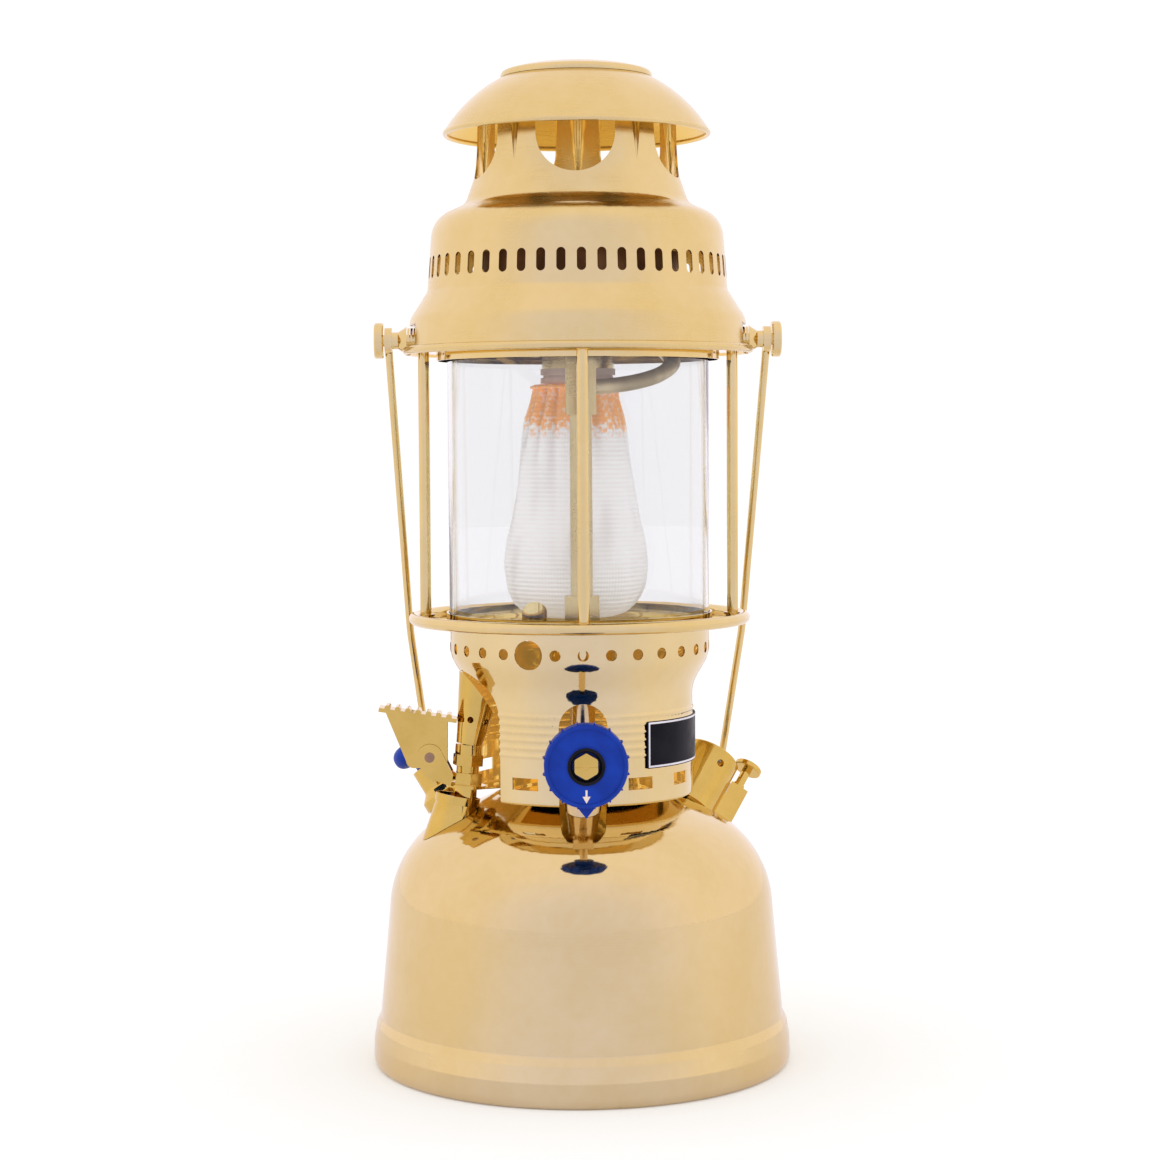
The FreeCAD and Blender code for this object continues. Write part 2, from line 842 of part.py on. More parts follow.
def hood_path():
    base = rim_height
    return [(rim_circle, base, 0), (hood_break_radius, base + hood_break_rise, 8.0),
            (hood_step_radius, base + hood_step_rise, 3.0),
            (hood_side_top_radius, base + hood_shoulder_rise, 11.5),
            (hood_seam_radius + seam_gap, shoulder_height(hood_seam_radius + seam_gap), 0)]


def hood_pocket(side, grow):
    """The space over one flat seat, larger by grow on the faces that carry the wall."""
    near = side * (hood_flat_reach - grow)
    far = side * (rim_circle + 12.0)
    high = pivot_height + hood_pocket_half_height + grow
    low = rim_height + rim_bead_radius + 0.4 - grow
    return block(V(min(near, far), -60.0, low), V(max(near, far), 60.0, high))


def hood_shell():
    """Spun hood with a rolled rim, a ring of vents and two flat, slotted seats."""
    shell = spun_sheet(hood_path(), hood_wall)
    body = filled(hood_path())
    seats = []
    for side in (-1, 1):
        pocket = hood_pocket(side, 0.0)
        shell = shell.cut(pocket)
        seats.append(hood_pocket(side, hood_wall).cut(pocket).common(body))
    rim = bead(rim_circle, rim_bead_radius, rim_height)
    shell = joined([shell, rim] + seats)
    reach = rim_circle + 10.0
    level = rim_height + vent_rise
    half = vent_width / 2.0
    straight = vent_height / 2.0 - half
    for index in range(vent_count // 2):
        bar = block(V(-half, -reach, level - straight), V(half, reach, level + straight))
        low = rod(half, V(0, -reach, level - straight), V(0, reach, level - straight))
        high = rod(half, V(0, -reach, level + straight), V(0, reach, level + straight))
        shell = shell.cut(turned(joined([bar, low, high]), index * 360.0 / vent_count))
    for side in (-1, 1):
        inside = side * (hood_flat_reach - 4.0)
        outside = side * (rim_circle + 12.0)
        slot = block(V(min(inside, outside), -hood_slot_half_width, rim_height - 5.0),
                     V(max(inside, outside), hood_slot_half_width, pivot_height))
        round_end = rod(hood_slot_half_width, V(inside, 0, pivot_height),
                        V(outside, 0, pivot_height))
        notch_near = side * hood_flat_reach
        notch = block(V(min(notch_near, outside), -hood_notch_half_width, rim_height - 5.0),
                      V(max(notch_near, outside), hood_notch_half_width, pivot_height))
        shell = shell.cut(slot).cut(round_end).cut(notch)
    return shell


def chimney_path():
    foot = chimney_foot
    return [(hood_seam_radius, shoulder_height(hood_seam_radius), 0),
            (hood_neck_radius, foot, 6.0),
            (chimney_waist_radius, foot + chimney_waist_rise, 22.0),
            (chimney_radius, foot + chimney_height, 0)]


def flute(azimuth, grow):
    """Tapered groove pressed into a leg: wide at the top and pointed at the bottom."""
    low = chimney_foot + flute_bottom_rise - grow * 3.0
    high = chimney_foot + chimney_height + 2.0
    start = V(0, -chimney_waist_radius, low)
    end = V(0, -chimney_radius - flute_half_width + flute_depth, high)
    cone = Part.makeCone(0.25 + grow, flute_half_width + grow, (end - start).Length,
                         start, end - start)
    return turned(cone, azimuth)


def hood_chimney():
    """Neck of the hood: five fluted legs between large round-bottomed windows."""
    shell = spun_sheet(chimney_path(), hood_wall)
    body = filled(chimney_path())
    body = body.common(cylinder(60.0, chimney_foot + 2.0, chimney_foot + chimney_height))
    leg_pitch = 360.0 / window_count
    grooves = []
    linings = []
    for index in range(window_count):
        azimuth = window_azimuth + (index + 0.5) * leg_pitch
        groove = flute(azimuth, 0.0)
        grooves.append(groove)
        linings.append(flute(azimuth, hood_wall).common(body))
    shell = shell.multiFuse(linings)
    for groove in grooves:
        shell = shell.cut(groove)
    half = chimney_radius * math.sin(math.radians(window_width_angle / 2.0))
    base = chimney_foot + window_rise + half
    reach = chimney_radius + 12.0
    top = chimney_foot + chimney_height - 5.0
    arch = rod(half, V(0, -22.0, base), V(0, -reach, base))
    opening = block(V(-half, -reach, base), V(half, -22.0, top))
    window = arch.fuse(opening).removeSplitter()
    for index in range(window_count):
        shell = shell.cut(turned(window, window_azimuth + index * leg_pitch))
    return shell.cut(cap_body())


def cap_arc(radius, wall):
    """Height on the cap's arc above its centre at a radius from the axis."""
    return math.sqrt((cap_arc_radius - wall) ** 2 - (radius - cap_arc_circle) ** 2)


def cap_centre_height():
    return cap_rim_height - cap_arc(cap_rim_radius, 0.0)


def cap_edges(wall, inner_radius):
    """The arc of the cap at a depth below its outer face."""
    centre = cap_centre_height()
    rim = cap_rim_radius - wall
    rim_point = V(rim, 0, centre + cap_arc(rim, wall))
    top_point = V(inner_radius, 0, centre + cap_arc(inner_radius, wall))
    middle = (rim + inner_radius) / 2.0 + 3.0
    middle_point = V(middle, 0, centre + cap_arc(middle, wall))
    return rim_point, middle_point, top_point


def cap_body():
    """The solid form under the cap's inner face, used to trim what stands under it."""
    rim, middle, top = cap_edges(cap_wall + seat_gap, 0.0)
    ceiling = V(0, 0, cap_rim_height + 60.0)
    corner = V(rim.x + 20.0, 0, cap_rim_height + 60.0)
    edges = [Part.Arc(rim, middle, top).toShape(), line(top, ceiling), line(ceiling, corner),
             line(corner, V(corner.x, 0, rim.z)), line(V(corner.x, 0, rim.z), rim)]
    return spin(edges)


def hood_cap():
    """Domed rain cap with a rolled rim."""
    rim, middle, top = cap_edges(0.0, cap_hole_radius)
    rim_in, middle_in, top_in = cap_edges(cap_wall, cap_hole_radius)
    edges = [Part.Arc(rim, middle, top).toShape(), line(top, top_in),
             Part.Arc(top_in, middle_in, rim_in).toShape(), line(rim_in, rim)]
    dome = spin(edges)
    roll = bead(cap_rim_radius - cap_bead_radius, cap_bead_radius, cap_rim_height)
    return dome.fuse(roll).removeSplitter()


def hood_top_disc():
    """Flat-domed disc that closes the cap."""
    seat = cap_centre_height() + cap_arc(disc_radius, 0.0)
    path = [(disc_radius - 1.2, seat - 1.4, 0), (disc_radius - 0.6, seat + 0.4, 0),
            (disc_radius, seat + disc_band, 2.0), (disc_radius - 8.0, seat + disc_height - 0.9, 9.0),
            (0.0, seat + disc_height, 0)]
    body = filled(path)
    centre = cap_centre_height()
    rim, middle, top = cap_edges(-seat_gap, 0.0)
    under = [Part.Arc(rim, middle, top).toShape(), line(top, V(0, 0, centre)),
             line(V(0, 0, centre), V(rim.x, 0, centre)), line(V(rim.x, 0, centre), rim)]
    return body.cut(spin(under))


# ================================================================ burner
def ceramic_nozzle():
    """Clay nozzle: a collar under the burner tube and a spigot inside the mantle."""
    low = nozzle_top - nozzle_height
    collar = cylinder(nozzle_radius, low, nozzle_top)
    spigot = cylinder(nozzle_spigot_radius, low - nozzle_spigot, low)
    groove = tube(nozzle_radius + 1.0, nozzle_radius - 1.0, low + 2.2, low + 3.4)
    return collar.fuse(spigot).cut(cylinder(nozzle_bore, low - 20.0, nozzle_top + 1.0)).cut(groove)


def gooseneck(radius, extra):
    """Bent pipe from over the jet to the middle, of the given outer radius."""
    bend = burner_offset / 2.0
    arch = nozzle_top + 23.0
    start = V(0, -burner_offset, block_top + bell_above_block - extra)
    path = Part.Wire([line(start, V(0, -burner_offset, arch)),
                      Part.Arc(V(0, -burner_offset, arch), V(0, -bend, arch + bend),
                               V(0, 0, arch)).toShape(),
                      line(V(0, 0, arch), V(0, 0, nozzle_top + burner_tube_length - extra))])
    section = Part.Wire([Part.Circle(start, UP, radius).toShape()])
    return path.makePipeShell([section], True, False)


def mixing_tube():
    """Gas and air mixer: intake bell over the jet, gooseneck and the wide burner tube."""
    low = nozzle_top
    mid = nozzle_top + burner_tube_length
    straight = cylinder(burner_tube_radius, low, mid - 4.0)
    taper = Part.makeCone(burner_tube_radius, gooseneck_radius, 6.0, V(0, 0, mid - 4.0), UP)
    bell_low = block_top + bell_above_block
    bell = Part.makeCone(bell_radius, gooseneck_radius, bell_height,
                         V(0, -burner_offset, bell_low), UP)
    outside = joined([gooseneck(gooseneck_radius, 0.0), straight, taper, bell])
    wall = gooseneck_wall
    inner_straight = cylinder(burner_tube_radius - wall, low - 1.0, mid - 4.0)
    inner_taper = Part.makeCone(burner_tube_radius - wall, gooseneck_radius - wall, 6.0,
                                V(0, 0, mid - 4.0), UP)
    inner_bell = Part.makeCone(bell_radius - wall, gooseneck_radius - wall, bell_height,
                               V(0, -burner_offset, bell_low), UP)
    inside = [gooseneck(gooseneck_radius - wall, 0.5), inner_straight, inner_taper, inner_bell]
    for cavity in inside:
        outside = outside.cut(cavity)
    return outside


def mantle():
    """Mantle as a plain closed bag round the nozzle's spigot."""
    floor = casing_mouth + mantle_floor_gap
    top = nozzle_top - nozzle_height - seat_gap * 3.0
    belly = floor + 20.0
    path = [(0.0, floor, 0), (mantle_belly_radius - 1.5, floor, 16.0),
            (mantle_belly_radius, belly, 26.0), (22.4, floor + 64.0, 40.0),
            (mantle_neck_radius + 3.0, top - 10.0, 12.0), (mantle_neck_radius, top, 0)]
    bag = filled(path)
    bag.translate(V(mantle_side_shift, mantle_back_shift, 0))
    socket = cylinder(nozzle_spigot_radius + part_gap, top - nozzle_spigot - 1.0, top + 1.0)
    return bag.cut(socket)


def mantle_tie():
    """String that gathers the mantle's neck under the nozzle."""
    top = nozzle_top - nozzle_height - seat_gap * 3.0
    tie = bead(mantle_neck_radius + 1.7, 0.6, top - 1.2)
    tie.translate(V(mantle_side_shift, mantle_back_shift, 0))
    return tie


def inner_hood():
    """Inner hood: reflector flange, cone and the partition that holds the mixing tube."""
    low = top_ring_top
    inner = inner_hood_radius - inner_hood_wall
    flange = tube(top_ring_inner_radius + 5.0, inner, low, low + inner_hood_wall)
    cone_top = low + inner_hood_cylinder + 11.0
    path = [(inner_hood_radius, low, 0), (inner_hood_radius, low + inner_hood_cylinder, 1.0),
            (inner_hood_top_radius, cone_top, 1.0),
            (inner_hood_top_radius, low + inner_hood_height, 0)]
    wall = spun_sheet(path, inner_hood_wall)
    level = low + inner_hood_partition
    partition = cylinder(inner + 0.2, level, level + inner_hood_wall)
    holes = [cylinder(gooseneck_radius + part_gap, level - 1.0, level + 2.0, 0, -burner_offset),
             cylinder(gooseneck_radius + part_gap, level - 1.0, level + 2.0)]
    for azimuth in (60, 120, 180, 240, 300):
        foot = radial(azimuth, 26.0)
        holes.append(cylinder(5.0, level - 1.0, level + 2.0, foot.x, foot.y))
    for hole in holes:
        partition = partition.cut(hole)
    return joined([flange, wall, partition])


def valve_body():
    """Fuel valve on the tank: foot, branch for the spindle and the riser to the generator."""
    low = tank_height - 4.0
    foot_top = spindle_height + 8.0
    stem = cylinder(valve_body_radius, low, foot_top, 0, -burner_offset)
    riser = cylinder(riser_radius, foot_top, casing_mouth, 0, -burner_offset)
    collar = cylinder(riser_radius + 1.6, casing_mouth - 13.4, casing_mouth - 12.2,
                      0, -burner_offset)
    branch = rod(valve_branch_radius, V(0, -burner_offset, spindle_height),
                 V(0, -burner_offset - valve_branch_length, spindle_height))
    body = joined([stem, riser, collar, branch])
    body = body.cut(cylinder(generator_bore, low + 12.0, casing_mouth + 1.0, 0, -burner_offset))
    body = body.cut(rod(spindle_radius + running_gap, V(0, -burner_offset + 4.0, spindle_height),
                        V(0, -burner_offset - 40.0, spindle_height)))
    return body.cut(tank_solid(seat_gap))


def valve_gland_nut():
    start = -burner_offset - valve_branch_length
    nut = prism(6, gland_flats, 0.0, gland_length)
    nut = nut.cut(cylinder(spindle_radius + running_gap, -1.0, gland_length + 1.0))
    nut.rotate(V(0, 0, 0), V(1, 0, 0), 90.0)
    nut.translate(V(0, start, spindle_height))
    return nut


def fuel_pickup_tube():
    """Pipe from the valve down to the bottom of the tank, with a strainer foot."""
    low = tank_bottom_height + tank_bottom_dish + 2.4
    high = tank_height - 6.0
    pipe = cylinder(3.0, low + 4.0, high, 0, -burner_offset)
    strainer = cylinder(4.6, low, low + 10.0, 0, -burner_offset)
    plug = cylinder(pickup_plug_radius, high, tank_height + 2.0, 0, -burner_offset)
    pipe = joined([pipe, strainer, plug.common(tank_solid())])
    return pipe.cut(cylinder(1.8, low - 1.0, tank_height + 5.0, 0, -burner_offset))


def generator_nut():
    low = casing_mouth
    nut = prism(6, generator_nut_flats, low, low + generator_nut_height, 0, -burner_offset)
    bevel = Part.makeCone(generator_nut_flats * 0.72, generator_nut_flats * 0.5, 3.2,
                          V(0, -burner_offset, low + generator_nut_height - 1.8), UP)
    keep = cylinder(20.0, low, low + generator_nut_height - 1.8, 0, -burner_offset).fuse(bevel)
    bore = cylinder(generator_bore, low - 1.0, low + generator_nut_height + 1.0, 0, -burner_offset)
    return nut.common(keep).cut(bore)


def generator_tube():
    low = casing_mouth + generator_nut_height
    return tube(generator_radius, generator_bore, low, block_foot, 0, -burner_offset)


def generator_block():
    half = head_block_width / 2.0
    body = block(V(-half, -burner_offset - half, block_foot),
                 V(half, -burner_offset + half, block_top))
    body = body.makeChamfer(1.2, [edge for edge in body.Edges
                                  if abs(edge.Vertexes[0].Z - edge.Vertexes[1].Z) > 5.0])
    holder = cylinder(jet_holder_radius, block_top, block_top + jet_holder_height,
                      0, -burner_offset)
    return body.fuse(holder)


def generator_head():
    bore = cylinder(generator_bore, block_foot - 1.0, block_top + 2.0 * jet_holder_height,
                    0, -burner_offset)
    return generator_block().cut(bore)


def generator_loop():
    """Preheat loop: round the burner once, rising at the right and coming back at the left."""
    radius = burner_offset
    halves = []
    back = block_foot + 10.7 + loop_rise
    for rise, start, end in ((loop_rise, -90.0, 90.0), (loop_drop, 90.0, 270.0)):
        middle = back - rise / 2.0
        half = Part.makeTorus(radius / math.cos(math.atan2(rise, 2.0 * radius)), loop_tube_radius,
                              V(0, 0, 0), UP, 0, 360, 180)
        half.rotate(V(0, 0, 0), UP, start)
        half.rotate(V(0, 0, 0), V(1, 0, 0), math.degrees(math.atan2(rise, 2.0 * radius)))
        half.translate(V(0, 0, middle))
        halves.append(half)
    loop = halves[0].fuse(halves[1])
    room = generator_block()
    room = room.fuse(cylinder(jet_holder_radius + seat_gap, block_top,
                              block_top + 3.0 * jet_holder_height, 0, -burner_offset))
    return loop.cut(room)


def jet_nozzle():
    """Jet screwed on the head, under the intake bell."""
    low = block_top + jet_holder_height
    seat = prism(6, 7.0, low, low + 2.6, 0, -burner_offset)
    tip = Part.makeCone(2.6, 1.2, 3.4, V(0, -burner_offset, low + 2.6), UP)
    return seat.fuse(tip).cut(cylinder(0.4, low - 1.0, low + 10.0, 0, -burner_offset)).cut(
        cylinder(generator_bore, low - 1.0, low + 2.0, 0, -burner_offset))


def pricker_rod():
    """Rod that the spindle lifts to clean the jet."""
    low = spindle_height + spindle_radius + pricker_stroke + part_gap
    high = block_top + jet_holder_height - 2.0
    shaft = cylinder(pricker_radius, low, high, 0, -burner_offset)
    foot = cylinder(generator_bore - part_gap, low, low + 2.4, 0, -burner_offset)
    return shaft.fuse(foot)


def spirit_cup():
    """Preheating cup on the riser, open at the top."""
    low = casing_mouth - 12.2
    y = -burner_offset
    cup = cylinder(spirit_cup_radius, low, low + spirit_cup_height, 0, y)
    hollow = tube(spirit_cup_radius - spirit_cup_wall, riser_radius + 1.0,
                  low + spirit_cup_wall, low + spirit_cup_height + 1.0, 0, y)
    return cup.cut(hollow).cut(cylinder(riser_radius + running_gap, low - 1.0, low + 20.0, 0, y))


def burner_floor_plate():
    """Plate under the mantle with the flame port and a bent-up tongue."""
    high = casing_mouth
    low = high - 0.8
    plate = cylinder(casing_mouth_radius - casing_wall - 0.6, low, high)
    plate = plate.cut(cylinder(riser_radius + seat_gap, low - 1.0, high + 1.0, 0, -burner_offset))
    arc = tube(42.5, 34.0, low - 1.0, high + 1.0)
    wedge_points = [V(0, 0, low - 1.0), radial(-122.0, 70.0, low - 1.0),
                    radial(-95.0, 70.0, low - 1.0), radial(-62.0, 70.0, low - 1.0),
                    V(0, 0, low - 1.0)]
    wedge = Part.Face(Part.makePolygon(wedge_points)).extrude(V(0, 0, 5.0))
    plate = plate.cut(arc.common(wedge))
    tongue_place = V(-18.3, -31.0, high - 0.8)
    tongue = Part.makeCylinder(5.6, 11.4, tongue_place, UP)
    tongue = tongue.cut(Part.makeCylinder(4.8, 13.0, tongue_place - UP, UP))
    front = block(V(-30.0, -40.0, low - 2.0), V(-5.0, -31.6, high + 20.0))
    dome = rod(4.9, V(-18.3, -45.0, high + 5.8), V(-18.3, -20.0, high + 5.8))
    stem = block(V(-23.2, -45.0, low), V(-13.4, -20.0, high + 5.8))
    tongue = tongue.common(front).common(dome.fuse(stem))
    return plate.fuse(tongue)


# ================================================================ control wheel
def wheel_outline(radius):
    """Toothed rim with one long pointer at the bottom."""
    points = []
    pitch = 360.0 / wheel_tooth_count
    for index in range(wheel_tooth_count):
        middle = index * pitch - 90.0 + pitch / 2.0
        for offset, reach in ((-pitch / 2.0, radius), (-2.2, radius),
                              (0.0, radius + wheel_tooth_height), (2.2, radius)):
            angle = math.radians(middle + offset)
            points.append(V(reach * math.cos(angle), reach * math.sin(angle), 0))
    points.append(points[0])
    return Part.Face(Part.makePolygon(points))


def control_wheel():
    rim = cylinder(wheel_radius - 0.2, 0.0, wheel_thickness)
    rim = rim.makeFillet(1.4, [edge for edge in rim.Edges if edge.Length > 60.0])
    teeth = wheel_outline(wheel_radius - 0.3).extrude(V(0, 0, wheel_thickness - 3.6))
    teeth.translate(V(0, 0, 1.8))
    pointer_points = [V(-4.2, -wheel_radius + 1.4, 2.4), V(0, -wheel_pointer_radius, 2.4),
                      V(4.2, -wheel_radius + 1.4, 2.4), V(-4.2, -wheel_radius + 1.4, 2.4)]
    pointer = Part.Face(Part.makePolygon(pointer_points)).extrude(V(0, 0, 3.6))
    hub = cylinder(6.4, -3.4, 1.0)
    wheel = joined([rim, teeth, pointer, hub])
    recess = cylinder(wheel_recess_radius, wheel_thickness - wheel_recess_depth,
                      wheel_thickness + 1.0)
    face_dish = tube(wheel_radius - 1.8, wheel_recess_radius + 1.2, wheel_thickness - 0.5,
                     wheel_thickness + 1.0)
    bore = cylinder(spindle_radius + running_gap, -5.0, wheel_thickness + 1.0)
    wheel = wheel.cut(recess).cut(bore).cut(face_dish)
    return on_spindle(wheel)


def on_spindle(shape):
    """Stand a shape built along +Z on the spindle, facing the front."""
    copy = shape.copy()
    copy.rotate(V(0, 0, 0), V(1, 0, 0), 90.0)
    copy.translate(V(0, -wheel_reach + wheel_thickness, spindle_height))
    return copy


def wheel_nut():
    low = wheel_thickness - wheel_recess_depth
    nut = prism(6, wheel_nut_flats, low, low + wheel_nut_thickness)
    bevel = Part.makeCone(wheel_nut_flats * 0.72, wheel_nut_flats * 0.48, 1.4,
                          V(0, 0, low + wheel_nut_thickness - 1.0), UP)
    keep = cylinder(9.0, low, low + wheel_nut_thickness - 1.0).fuse(bevel)
    slot = block(V(-6.0, -0.4, low + wheel_nut_thickness - 0.8), V(6.0, 0.4, 20.0))
    dimple = cylinder(1.2, low + wheel_nut_thickness - 0.6, 20.0)
    return on_spindle(nut.common(keep).cut(slot).cut(dimple))


def valve_spindle():
    """Spindle from the valve to the wheel, with the eccentric pin at its inner end."""
    end = -wheel_reach + wheel_recess_depth
    start = -burner_offset + 2.0
    return rod(spindle_radius, V(0, start, spindle_height), V(0, end, spindle_height))


# ================================================================ filler
def filler_neck():
    neck = tube(filler_neck_radius, filler_neck_radius - filler_neck_wall,
                -2.6, filler_neck_height)
    return placed(neck, filler_placement())


def filler_cap_body():
    """Screw cap over the neck, with the bleed block on its side."""
    low = filler_cap_lift
    top = low + filler_cap_height
    skirt = cylinder(filler_cap_radius, low, top)
    side = block(V(filler_cap_radius - 3.0, -bleed_block_width / 2.0, bleed_block_low),
                 V(bleed_block_reach, bleed_block_width / 2.0, bleed_block_top))
    side.rotate(V(0, 0, 0), UP, bleed_azimuth)
    side = side.cut(cylinder(filler_cap_radius + part_gap, top, top + 40.0))
    body = joined([skirt, side])
    body = body.cut(cylinder(filler_neck_radius + part_gap, -20.0, gasket_top()))
    hole = bleed_place()
    body = body.cut(cylinder(bleed_radius + running_gap, low + 6.0, low + 40.0, hole.x, hole.y))
    return placed(body, filler_placement())


def gasket_top():
    return filler_neck_height + gasket_thickness + part_gap


def bleed_place():
    """Foot of the bleed screw's axis in the cap's own frame."""
    turn = math.radians(bleed_azimuth)
    return V(bleed_offset * math.cos(turn), bleed_offset * math.sin(turn), 0)


def filler_gasket():
    ring = tube(filler_neck_radius + part_gap - seat_gap, 4.4, filler_neck_height + part_gap,
                filler_neck_height + gasket_thickness + part_gap)
    return placed(ring, filler_placement())


def gauge_low():
    return filler_cap_lift + filler_cap_height


def gauge_housing():
    low = gauge_low()
    high = low + gauge_housing_height
    housing = cylinder(filler_cap_radius, low, high)
    housing = housing.makeFillet(0.8, [edge for edge in housing.Edges
                                       if edge.Length > 60.0 and edge.Vertexes[0].Z > low + 1.0])
    housing = housing.cut(cylinder(filler_cap_radius - gauge_wall, high - gauge_recess, high + 1.0))
    hole_level = low + gauge_housing_height * 0.52
    tommy = rod(gauge_hole_radius, V(0, 0, hole_level),
                V(0, 0, hole_level) + radial(-22.0, 40.0))
    housing = housing.cut(tommy.cut(cylinder(filler_cap_radius - 4.0, low, high)))
    return placed(housing, filler_placement())


def gauge_dial():
    high = gauge_low() + gauge_housing_height
    disc = cylinder(filler_cap_radius - gauge_wall - seat_gap, high - gauge_recess,
                    high - gauge_recess + 0.6)
    return placed(disc, filler_placement())


def gauge_needle():
    base = gauge_low() + gauge_housing_height - gauge_recess + 0.6 + part_gap
    hub = cylinder(1.2, base, base + 0.9)
    pointer_points = [V(-2.6, -0.5, base + 0.1), V(-2.6, 0.5, base + 0.1),
                      V(7.4, 0.0, base + 0.1), V(-2.6, -0.5, base + 0.1)]
    pointer = Part.Face(Part.makePolygon(pointer_points)).extrude(V(0, 0, 0.5))
    pointer = pointer.fuse(hub)
    pointer.rotate(V(0, 0, 0), UP, 220.0)
    return placed(pointer, filler_placement())


def gauge_window():
    high = gauge_low() + gauge_housing_height
    pane = cylinder(filler_cap_radius - gauge_wall - seat_gap, high - 2.4, high - 0.9)
    return placed(pane, filler_placement())


def bleed_screw():
    """Air bleed screw: stem, shoulder over the block and a flat knurled head."""
    place = bleed_place()
    low = filler_cap_lift + 7.0
    high = bleed_block_top + bleed_exposed
    stem = cylinder(bleed_radius, low, high, place.x, place.y)
    collar = cylinder(bleed_radius + 0.5, bleed_block_top + part_gap, bleed_block_top + 2.0,
                      place.x, place.y)
    head = cylinder(bleed_head_radius, high, high + bleed_head_thickness, place.x, place.y)
    head = head.makeChamfer(0.4, [edge for edge in head.Edges if edge.Length > 30.0])
    return placed(joined([stem, collar, head]), filler_placement())


# ================================================================ pump
def pump_barrel():
    barrel = tube(pump_barrel_radius, pump_barrel_radius - pump_barrel_wall,
                  -pump_barrel_length, pump_barrel_rise)
    return placed(barrel, pump_placement())


def pump_cap():
    """Screwed cap that closes the barrel and guides the rod."""
    low = pump_barrel_rise + running_gap
    path = [(pump_cap_radius, low, 0), (pump_cap_radius, low + 4.0, 1.0),
            (pump_cap_neck_radius, low + 7.4, 2.0),
            (pump_cap_neck_radius, pump_barrel_rise + pump_cap_height, 0)]
    cap = filled(path)
    plug = cylinder(pump_barrel_radius - pump_barrel_wall - seat_gap, low - 4.0, low + 0.2)
    bore = cylinder(pump_rod_radius + running_gap, -4.0, 40.0)
    return placed(cap.fuse(plug).cut(bore), pump_placement())


def pump_knob_low():
    return pump_barrel_rise + pump_cap_height + part_gap


def pump_knob():
    """Moulded mushroom knob."""
    low = pump_knob_low()
    neck_high = low + pump_knob_lift
    path = [(4.4, low, 0), (4.4, low + 3.0, 1.6), (pump_knob_radius, low + 4.2, 3.6),
            (pump_knob_radius, low + 3.8 + pump_knob_height, 4.2),
            (0.0, low + 4.4 + pump_knob_height, 0)]
    knob = filled(path)
    socket = cylinder(pump_rod_radius + running_gap, low - 1.0, neck_high)
    return placed(knob.cut(socket), pump_placement())


def pump_rod():
    low = -pump_barrel_length + 15.0
    return placed(cylinder(pump_rod_radius, low, pump_knob_low() + pump_knob_lift),
                  pump_placement())


def pump_leather():
    """Cup leather and its backing washer at the foot of the rod."""
    inner = pump_barrel_radius - pump_barrel_wall - running_gap
    low = -pump_barrel_length + 11.0
    cup = cylinder(inner, low, low + 5.0).cut(cylinder(inner - 1.4, low - 1.0, low + 3.2))
    cup = cup.cut(cylinder(pump_rod_radius + running_gap, low + 4.0, low + 6.0))
    return placed(cup, pump_placement())


def pump_check_valve():
    low = -pump_barrel_length
    plug = cylinder(pump_barrel_radius - pump_barrel_wall - running_gap, low, low + 5.0)
    nose = cylinder(4.2, low - 6.0, low)
    return placed(plug.fuse(nose).cut(cylinder(1.2, low - 8.0, low + 8.0)), pump_placement())


# ================================================================ preheater
def preheater_boss():
    """Flared cup on the tank's shoulder that carries the preheater."""
    skirt_top = -cup_rim_height
    rim = cylinder(cup_radius, skirt_top, 0.0)
    neck = cup_radius - 0.5
    foot = neck + cup_skirt_height * math.tan(math.radians(cup_flare))
    skirt = Part.makeCone(foot, neck, cup_skirt_height,
                          V(0, 0, skirt_top - cup_skirt_height), UP)
    cup = joined([rim, skirt]).cut(cylinder(cup_radius - cup_wall, -cup_depth, 5.0))
    cup = placed(cup, cup_placement()).cut(tank_solid(seat_gap))
    axis = radial(heater_azimuth, heater_circle)
    return cup.cut(cylinder(dip_tube_radius + running_gap, 60.0, tank_height + 10.0,
                            axis.x, axis.y))


def preheater_body():
    """Turned body of the preheater: brim, two hexagons and the groove between them."""
    neck = cylinder(heater_neck_radius, -6.0, 3.4)
    brim = cylinder(heater_brim_radius, 3.4, 4.6)
    lower = prism(6, heater_nut_flats, 4.6, 9.3)
    groove = cylinder(4.4, 9.3, 12.2)
    upper = prism(6, heater_nut_flats, 12.2, 16.6)
    collar = cylinder(heater_collar_radius, 16.6, heater_tube_start)
    body = joined([neck, brim, lower, groove, upper, collar])
    bore = cylinder(stem_radius + part_gap, -20.0, 40.0)
    body = placed(body.cut(bore), heater_placement())
    floor = placed(cylinder(60.0, -40.0, -cup_depth), cup_placement())
    return body.cut(floor)


def blow_tube_placement():
    """Stands on the body's collar and leans a little more than the body."""
    lean = FreeCAD.Rotation(V(0, 1, 0), -heater_tube_lean)
    return heater_placement().multiply(FreeCAD.Placement(V(0, 0, heater_tube_start), lean))


def blow_tube_mouth():
    return heater_tube_radius + heater_tube_length * math.tan(math.radians(heater_tube_flare))


